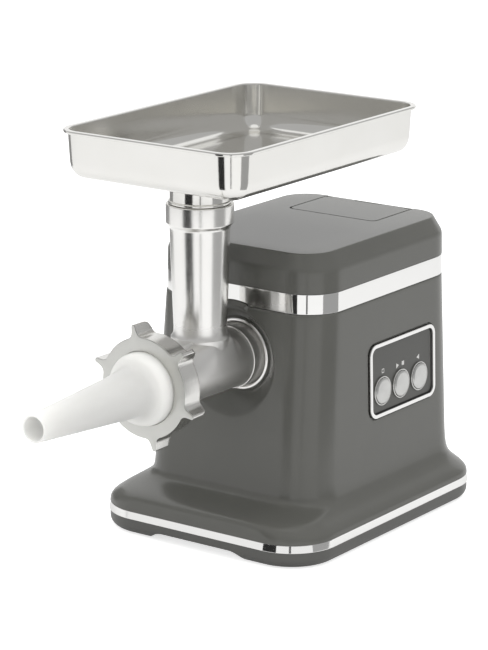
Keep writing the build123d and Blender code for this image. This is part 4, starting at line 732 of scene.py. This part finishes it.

# %% [markdown]
# Materials. Colours are written as sRGB hex values, as a colour chart lists them, and one function turns
# them to the linear numbers that Cycles works with. One more function adds a node with its settings and links. Most
# values of a noise lie between the two ends of the spread, so a gloss is stretched over them.

# %% Colour and node helpers
def linear(code):
    """sRGB hex to linear RGBA: value / 12.92 below 0.04045, else ((value + 0.055) / 1.055) ^ 2.4."""
    value = np.array([int(code[i:i + 2], 16) for i in (1, 3, 5)]) / 255
    bright = np.where(value <= 0.04045, value / 12.92, ((value + 0.055) / 1.055) ** 2.4)
    return (*bright.tolist(), 1.0)


def add_node(tree, kind, inputs=None, **settings):
    """Adds a node, sets its properties, then fills each named or numbered input with a value or a link."""
    node = tree.nodes.new(kind)
    for name, value in settings.items():
        setattr(node, name, value)
    for name, value in (inputs or {}).items():
        if isinstance(value, bpy.types.NodeSocket):
            tree.links.new(value, node.inputs[name])
        else:
            node.inputs[name].default_value = value
    return node


def empty_material(name):
    """Material with no nodes but the object's own coordinates."""
    material = bpy.data.materials.new(name)
    material.use_nodes = True
    material.node_tree.nodes.clear()
    return material, material.node_tree, add_node(material.node_tree, "ShaderNodeTexCoord").outputs["Object"]


SPREAD = {"From Min": 0.3, "From Max": 0.7}
print("colour of the housing in linear light:", np.round(linear("#53534f"), 3))

# %% [markdown]
# Housing: moulded ABS with a fine spark-eroded texture. The texture scatters light, so highlights are broad and soft.
# Its real pits are about 0.2 mm apart, too fine for the picture, so they are drawn at 0.8 mm.

# %% Moulded plastics
PLASTIC_CLOUD, PLASTIC_IOR, BUMP = 35, 1.5, 0.3


def moulded(name, dark, light, rough, pits=0.8, depth=0.003):
    """Textured plastic: fine pits in the normal and the gloss, a faint cloud in the colour. Sizes are in mm."""
    material, tree, place = empty_material(name)
    fine = add_node(tree, "ShaderNodeTexNoise", {"Vector": place, "Scale": 1 / (pits * MM), "Detail": 3.0})
    cloud = add_node(tree, "ShaderNodeTexNoise", {"Vector": place, "Scale": 1 / (PLASTIC_CLOUD * MM), "Detail": 2.0})
    tone = add_node(tree, "ShaderNodeMix", {0: cloud.outputs["Fac"], 6: linear(dark), 7: linear(light)},
                    data_type="RGBA")
    gloss = add_node(tree, "ShaderNodeMapRange", {"Value": fine.outputs["Fac"], **SPREAD,
                                                  "To Min": rough - 0.02, "To Max": rough + 0.03})
    bump = add_node(tree, "ShaderNodeBump", {"Height": fine.outputs["Fac"], "Strength": BUMP, "Distance": depth * MM})
    shader = add_node(tree, "ShaderNodeBsdfPrincipled", {"Base Color": tone.outputs[2], "Roughness": gloss.outputs[0],
                                                         "Normal": bump.outputs[0], "IOR": PLASTIC_IOR})
    add_node(tree, "ShaderNodeOutputMaterial", {0: shader.outputs[0]})
    return material


MOULDED = {  # slot: name, dark and light colour, roughness, and where they differ the size and depth of the pits
    "housing_grey": ("textured_abs_grey", "#53534f", "#575753", 0.23),
    "base_grey": ("textured_abs_base_grey", "#50504e", "#545451", 0.34),
    "well_grey": ("plain_abs_well_grey", "#4a4a47", "#4e4e4b", 0.4),
    "panel_grey": ("satin_abs_panel_grey", "#42423f", "#464643", 0.34, 1.2),
    "switch_black": ("nylon_black", "#161616", "#1c1c1c", 0.45),
    "motor_plastic": ("glass_filled_nylon_black", "#1a1a1b", "#222223", 0.5),
    "rubber": ("moulded_rubber_black", "#171717", "#1f1f1f", 0.7, 0.6),
    "gear_nylon": ("natural_nylon", "#ddd6bd", "#e6e0ca", 0.4, 1.5, 0.01),
    "board_green": ("solder_mask_green", "#17452a", "#1d5533", 0.35, 2.5),
    "carbon": ("pressed_carbon", "#101010", "#191919", 0.6),
    "magnet": ("ferrite", "#242426", "#2c2c2f", 0.65),
}
FINISH = {slot: moulded(*row) for slot, row in MOULDED.items()}
print(len(FINISH), "plastics, rubber and mineral finishes")

# %% [markdown]
# White food-grade plastic of the stuffing tube: polypropylene with a soft gloss. Light is carried some millimetres
# below the surface, which keeps its shaded side and the mouth of the tube pale.

# %% White polypropylene
CLOUD, FINE, POLYPROPYLENE_IOR = 40, 3, 1.49
GLOW_SHARE, GLOW_DEPTH = 0.8, 12
material, tree, place = empty_material("polypropylene_white")
cloud = add_node(tree, "ShaderNodeTexNoise", {"Vector": place, "Scale": 1 / (CLOUD * MM), "Detail": 2.0})
fine = add_node(tree, "ShaderNodeTexNoise", {"Vector": place, "Scale": 1 / (FINE * MM), "Detail": 3.0})
tone = add_node(tree, "ShaderNodeMix", {0: cloud.outputs["Fac"], 6: linear("#efeee7"), 7: linear("#f2f1eb")},
                data_type="RGBA")
gloss = add_node(tree, "ShaderNodeMapRange", {"Value": fine.outputs["Fac"], **SPREAD, "To Min": 0.28, "To Max": 0.36})
shader = add_node(tree, "ShaderNodeBsdfPrincipled", {
    "Base Color": tone.outputs[2], "Roughness": gloss.outputs[0], "IOR": POLYPROPYLENE_IOR,
    "Subsurface Weight": GLOW_SHARE, "Subsurface Scale": GLOW_DEPTH * MM, "Subsurface Radius": (1.0, 1.0, 1.0)})
add_node(tree, "ShaderNodeOutputMaterial", {0: shader.outputs[0]})
FINISH["white_plastic"] = material
print("made", material.name)

# %% [markdown]
# Metals. Chrome trim is nearly a mirror. The tray is polished stainless sheet with faint rolling lines along its
# length. All keep the default IOR, because a metal's reflection comes from its base colour.

# %% Metals
METAL_CLOUD, EVEN = 30, (1, 1, 1)


def metal(name, dark, light, low, high, size, stretch=EVEN, depth=0.0):
    """Metal with a cloudy reflectance, and a gloss that wanders between two values over streaks or grains of a size
    in mm. A stretch below 1 draws the grains out along its axis."""
    material, tree, place = empty_material(name)
    drawn = add_node(tree, "ShaderNodeMapping", {"Vector": place, "Scale": stretch})
    marks = add_node(tree, "ShaderNodeTexNoise", {"Vector": drawn.outputs[0], "Scale": 1 / (size * MM), "Detail": 4.0})
    cloud = add_node(tree, "ShaderNodeTexNoise", {"Vector": place, "Scale": 1 / (METAL_CLOUD * MM), "Detail": 2.0})
    tone = add_node(tree, "ShaderNodeMix", {0: cloud.outputs["Fac"], 6: linear(dark), 7: linear(light)},
                    data_type="RGBA")
    gloss = add_node(tree, "ShaderNodeMapRange", {"Value": marks.outputs["Fac"], **SPREAD,
                                                  "To Min": low, "To Max": high})
    shader = add_node(tree, "ShaderNodeBsdfPrincipled", {"Base Color": tone.outputs[2], "Roughness": gloss.outputs[0],
                                                         "Metallic": 1.0})
    if depth:
        bump = add_node(tree, "ShaderNodeBump", {"Height": marks.outputs["Fac"], "Strength": BUMP,
                                                 "Distance": depth * MM})
        tree.links.new(bump.outputs[0], shader.inputs["Normal"])
    add_node(tree, "ShaderNodeOutputMaterial", {0: shader.outputs[0]})
    return material


METALS = {  # slot: name, dark and light colour, lowest and highest roughness, grain, and where they differ the rest
    "bright_trim": ("chrome_plate", "#e6e6e4", "#ecebea", 0.04, 0.08, 2.0),
    "button_ring": ("chrome_plate_satin", "#c6c6c4", "#cecdcb", 0.2, 0.28, 1.0),
    "socket_chrome": ("turned_steel_ring", "#e8e7e5", "#efeeec", 0.12, 0.16, 3.0),
    "tray_steel": ("stainless_sheet_polished", "#e3e2de", "#e9e8e5", 0.11, 0.15, 1.6, (1, 0.04, 1)),
    "auger_alloy": ("cast_aluminium_plain", "#b9b9b6", "#c4c4c1", 0.3, 0.42, 1.2, EVEN, 0.008),
    "blade_steel": ("ground_tool_steel", "#b4b5b6", "#c0c1c2", 0.2, 0.32, 1.0, (1, 1, 0.1)),
    "screw_steel": ("zinc_plated_steel", "#a9aaab", "#b9babb", 0.25, 0.38, 0.8),
    "case_alloy": ("die_cast_aluminium", "#a3a3a2", "#b0b0af", 0.4, 0.52, 1.5, EVEN, 0.01),
    "shaft_steel": ("turned_steel", "#9d9d9d", "#adadad", 0.2, 0.32, 0.8, (1, 8, 1)),
    "bronze": ("sintered_bronze", "#a3743c", "#b08045", 0.4, 0.52, 0.8, EVEN, 0.008),
    "motor_steel": ("drawn_steel", "#7b7d80", "#8a8c8f", 0.3, 0.42, 1.2),
    "core_iron": ("stacked_laminations", "#5c5a58", "#6d6b68", 0.4, 0.55, 0.7, (0.1, 1, 0.1)),
    "copper": ("drawn_copper", "#b9744f", "#c78159", 0.25, 0.38, 0.8),
}
FINISH.update({slot: metal(*row) for slot, row in METALS.items()})
print(len(FINISH), "finishes so far")

# %% [markdown]
# Two castings are finished in two ways. The head's feed tube is polished by a wheel and its barrel is only brushed, so
# the gloss falls below the tube's foot. The ring nut's flanks are polished and its front face is turned flat, which
# leaves fine tool marks and a rougher, more even face. The face's colour is also painted darker as painted shade, and
# the lighter flank colour starts in the small round at its edge as a painted highlight.

# %% Castings
MARKS, MARKS_SHARE = 6, 0.06


def casting(name, axis, start, end, rough, tones, cloudy):
    """Cast metal with one finish up to a start and another from an end on an axis, in mm. Roughness goes from the
    first to the second value, and so does the tone, apart from the share that a cloud has in it."""
    material, tree, place = empty_material(name)
    level = add_node(tree, "ShaderNodeSeparateXYZ", {0: place})
    between = {"Value": level.outputs[axis], "From Min": start * MM, "From Max": end * MM}
    worn = add_node(tree, "ShaderNodeMapRange", {**between, "To Min": rough[0], "To Max": rough[1]})
    # The tone's change along the axis is painted light: on the ring nut, painted shade on the face and a painted
    # highlight on its edge round.
    painted_shade_zone = add_node(tree, "ShaderNodeMapRange", {**between, "To Min": 0.0, "To Max": 1 - cloudy})
    marks = add_node(tree, "ShaderNodeTexNoise", {"Vector": place, "Scale": 1 / (MARKS * MM), "Detail": 2.0})
    cloud = add_node(tree, "ShaderNodeTexNoise", {"Vector": place, "Scale": 1 / (METAL_CLOUD * MM), "Detail": 2.0})
    gloss = add_node(tree, "ShaderNodeMath", {0: marks.outputs["Fac"], 1: MARKS_SHARE, 2: worn.outputs[0]},
                     operation="MULTIPLY_ADD")
    share = add_node(tree, "ShaderNodeMath", {0: cloud.outputs["Fac"], 1: cloudy, 2: painted_shade_zone.outputs[0]},
                     operation="MULTIPLY_ADD")
    tone = add_node(tree, "ShaderNodeMix", {0: share.outputs[0], 6: linear(tones[0]), 7: linear(tones[1])},
                    data_type="RGBA")
    shader = add_node(tree, "ShaderNodeBsdfPrincipled", {"Base Color": tone.outputs[2], "Roughness": gloss.outputs[0],
                                                         "Metallic": 1.0})
    add_node(tree, "ShaderNodeOutputMaterial", {0: shader.outputs[0]})
    print("made", material.name)
    return material


FINISH["polished_alloy"] = casting("cast_aluminium_polished", "Z", 184, 200, (0.38, 0.2), ("#ebeae7", "#f1f0ee"), 1.0)
# Ring nut: the rougher turned face is real; its darker tone is painted shade, and the lighter tone from the edge round
# is a painted highlight.
FINISH["satin_alloy"] = casting("cast_aluminium_turned_face_painted_shade", "Y", NUT_FRONT + 0.2, NUT_FRONT + 0.7, (0.3, 0.22),
                                ("#cdcdc9", "#e4e3e0"), 0.1)

# %% [markdown]
# Each button is a turned metal cap with fine circles on its face. Rings round the button's own axis are drawn in the
# bump, 0.7 mm apart, and they spread the reflection into the two bright fans that such a face shows.

# %% Turned button faces
CIRCLES, CIRCLE_DEPTH, FACE_CLOUD = 0.7, 0.05, 6


def turned_face(name, a):
    """Circles about the button's axis: a ring wave on object coordinates that are moved to the button's centre. A wave
    of scale s has a ring each pi / (10 s)."""
    material, tree, place = empty_material(name)
    centre = on_panel(a, BUTTON_Y)["origin"] * MM
    local = add_node(tree, "ShaderNodeMapping", {"Vector": place, "Location": tuple(-centre)})
    wave = add_node(tree, "ShaderNodeTexWave", {"Vector": local.outputs[0], "Scale": np.pi / (10 * CIRCLES * MM),
                                                "Distortion": 0.6, "Detail": 1.0, "Detail Scale": 2.0},
                    wave_type="RINGS", rings_direction="X")
    cloud = add_node(tree, "ShaderNodeTexNoise", {"Vector": place, "Scale": 1 / (FACE_CLOUD * MM), "Detail": 3.0})
    tone = add_node(tree, "ShaderNodeMix", {0: cloud.outputs["Fac"], 6: linear("#c2c2c0"), 7: linear("#cececc")},
                    data_type="RGBA")
    gloss = add_node(tree, "ShaderNodeMapRange", {"Value": wave.outputs["Fac"], "To Min": 0.2, "To Max": 0.3})
    bump = add_node(tree, "ShaderNodeBump", {"Height": wave.outputs["Fac"], "Strength": 1.0,
                                             "Distance": CIRCLE_DEPTH * MM})
    shader = add_node(tree, "ShaderNodeBsdfPrincipled", {"Base Color": tone.outputs[2], "Roughness": gloss.outputs[0],
                                                         "Normal": bump.outputs[0], "Metallic": 1.0})
    add_node(tree, "ShaderNodeOutputMaterial", {0: shader.outputs[0]})
    return material


caps = {name: turned_face(f"turned_aluminium_{name}", a) for name, a in zip(BUTTON_NAMES, BUTTON_X)}
FINISH["button_face"] = caps["power"]
print("made", len(caps), "button faces")

# %% [markdown]
# Every shown piece and every CAD node takes the finish of its material slot, so a finish is changed in one place. Each
# button has its own circles, so its cap is dressed by name.

# %% Assign finishes
def dress(piece, material):
    """Makes the material the only one of the piece."""
    piece.data.materials.clear()
    piece.data.materials.append(material)


for part in frame["record"]["subparts"]:
    dress(frame["nodes"][part["node"]], FINISH[part["material_slot"]])
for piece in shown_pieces():
    if "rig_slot" in piece:
        dress(piece, FINISH[piece["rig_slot"]])
for name, material in caps.items():
    dress(bpy.data.objects[f"button_cap_{name}"], material)

# %% [markdown]
# A pale floor. Its own grey takes the object's shadow, and a glow that only the camera, reflections and glass see
# lifts it to the white of the surround, so it throws no extra light on the object.

# %% Floor
FLOOR_HALF, PAPER_CLOUD = 30, 300
SEEN_GLOW, MIRRORED_GLOW = 0.7, 0.08
WHITE = (1, 1, 1, 1)
scene = bpy.context.scene
scene.view_settings.view_transform = "Standard"
floor_mesh = bpy.data.meshes.new("floor")
floor_points = FLOOR_HALF * np.array([(-1, -1, 0), (1, -1, 0), (1, 1, 0), (-1, 1, 0)])
floor_mesh.from_pydata(floor_points.tolist(), [], [(0, 1, 2, 3)])
floor = bpy.data.objects.new("floor", floor_mesh)
scene.collection.objects.link(floor)
floor_paper, tree, place = empty_material("paper_white")
cloud = add_node(tree, "ShaderNodeTexNoise", {"Vector": place, "Scale": 1 / (PAPER_CLOUD * MM), "Detail": 2.0})
tone = add_node(tree, "ShaderNodeMix", {0: cloud.outputs["Fac"], 6: linear("#dddddd"), 7: linear("#e0e0e0")},
                data_type="RGBA")
path = add_node(tree, "ShaderNodeLightPath")
direct = add_node(tree, "ShaderNodeMath", {0: path.outputs["Is Camera Ray"], 1: path.outputs["Is Transmission Ray"]},
                  operation="MAXIMUM")
mirrored = add_node(tree, "ShaderNodeMath", {0: path.outputs["Is Glossy Ray"], 1: MIRRORED_GLOW}, operation="MULTIPLY")
glow = add_node(tree, "ShaderNodeMath", {0: direct.outputs[0], 1: SEEN_GLOW, 2: mirrored.outputs[0]},
                operation="MULTIPLY_ADD")
shader = add_node(tree, "ShaderNodeBsdfPrincipled", {
    "Base Color": tone.outputs[2], "Roughness": 1.0, "Specular IOR Level": 0.0, "Emission Color": WHITE,
    "Emission Strength": glow.outputs[0]})
add_node(tree, "ShaderNodeOutputMaterial", {0: shader.outputs[0]})
dress(floor, floor_paper)
print("floor made of", floor_paper.name)

# %% [markdown]
# The surround is white to the camera, in reflections and through glass, and a softer level lights the object.

# %% White surround
SEEN_LEVEL, LIGHT_LEVEL = 1.0, 0.7
world = bpy.data.worlds.new("studio")
world.use_nodes = True
scene.world = world
tree = world.node_tree
tree.nodes.clear()
path = add_node(tree, "ShaderNodeLightPath")
seen = add_node(tree, "ShaderNodeMath", {0: path.outputs["Is Camera Ray"], 1: path.outputs["Is Glossy Ray"]},
                operation="MAXIMUM")
seen = add_node(tree, "ShaderNodeMath", {0: seen.outputs[0], 1: path.outputs["Is Transmission Ray"]},
                operation="MAXIMUM")
plain = add_node(tree, "ShaderNodeBackground", {"Color": WHITE, "Strength": LIGHT_LEVEL})
white = add_node(tree, "ShaderNodeBackground", {"Color": WHITE, "Strength": SEEN_LEVEL})
mixed = add_node(tree, "ShaderNodeMixShader", {0: seen.outputs[0], 1: plain.outputs[0], 2: white.outputs[0]})
add_node(tree, "ShaderNodeOutputWorld", {0: mixed.outputs[0]})
print("surround:", world.name)

# %% [markdown]
# A studio hangs dark cards, called flags, beside polished metal, because metal that mirrors only white looks like
# paper. These cards are seen by reflections alone, so they cast no shadow. Each is a profile of radius and height
# carried round the object between two directions: three flags on the table, the stand of the camera between them, and
# the dim room behind the camera, which the inside of the tray mirrors.

# %% Flags
FLAG_POINTS = 33


def flag(name, start, end, profile, level):
    """Grid of radius and height in metres, carried round the z axis from one angle in degrees to another."""
    around = np.radians(np.linspace(start, end, FLAG_POINTS))[None, :]
    radius, height = np.array(profile, float).T[:, :, None]
    grid = np.stack([radius * np.cos(around), radius * np.sin(around), height + 0 * around], -1)
    mesh = bpy.data.meshes.new(name)
    faces = quads(*grid.shape[:2]).reshape(-1, grid.shape[1], 4)[:, :-1]
    mesh.from_pydata(grid.reshape(-1, 3).tolist(), [], faces.reshape(-1, 4).tolist())
    card = bpy.data.objects.new(name, mesh)
    scene.collection.objects.link(card)
    card.visible_camera = card.visible_diffuse = card.visible_shadow = card.visible_transmission = False
    cloth, tree, _ = empty_material(name + "_cloth")
    glow = add_node(tree, "ShaderNodeEmission", {"Color": WHITE, "Strength": level})
    add_node(tree, "ShaderNodeOutputMaterial", {0: glow.outputs[0]})
    dress(card, cloth)


FLAGS = {  # name: first and last direction, profile, brightness
    "dark_flag": (-110, -80, [(0.5, 0.002), (1.1, 0.5)], 0.03),
    "camera_stand": (-55, -50.5, [(0.6, 0.002), (1.2, 0.5)], 0.15),
    "grey_flag": (-8, 38, [(0.5, 0.002), (1.1, 0.45)], 0.4),
    "left_flag": (150, 188, [(0.9, 0.002), (1.5, 0.8)], 0.3),
    "dim_room": (-175, 80, [(3.0, 0.35), (3.0, 3.0), (1.2, 4.2)], 0.5),
}
for name, row in FLAGS.items():
    flag(name, *row)
print(len(FLAGS), "cards stand round the object")

# %% [markdown]
# Three large soft boxes light the object: one to the right, one overhead and a fill from the front. Spots would give
# hard shadows. They are left out of reflections, because the white surround already fills those.

# %% Lamps
def softbox(name, place, aim, size, power):
    """Square area lamp at a place in metres, turned towards a point and left out of reflections."""
    lamp = bpy.data.lights.new(name, "AREA")
    lamp.shape = "RECTANGLE"
    lamp.size = lamp.size_y = size
    lamp.energy = power
    holder = bpy.data.objects.new(name, lamp)
    holder.location = place
    way = np.array(aim, float) - np.array(place, float)
    holder.rotation_euler = (np.arctan2(np.hypot(way[0], way[1]), -way[2]), 0, np.arctan2(way[0], -way[1]) + np.pi)
    holder.visible_glossy = False
    scene.collection.objects.link(holder)


softbox("key", (2.4, -0.3, 1.6), (0, 0, 0.15), 2.4, 18)
softbox("overhead", (0.0, 0.2, 2.6), (0, 0.05, 0.2), 3.0, 52)
softbox("fill", (-0.4, -2.6, 1.5), (0, 0, 0.15), 2.4, 21)
print("lamps:", [lamp.name for lamp in bpy.data.lights])
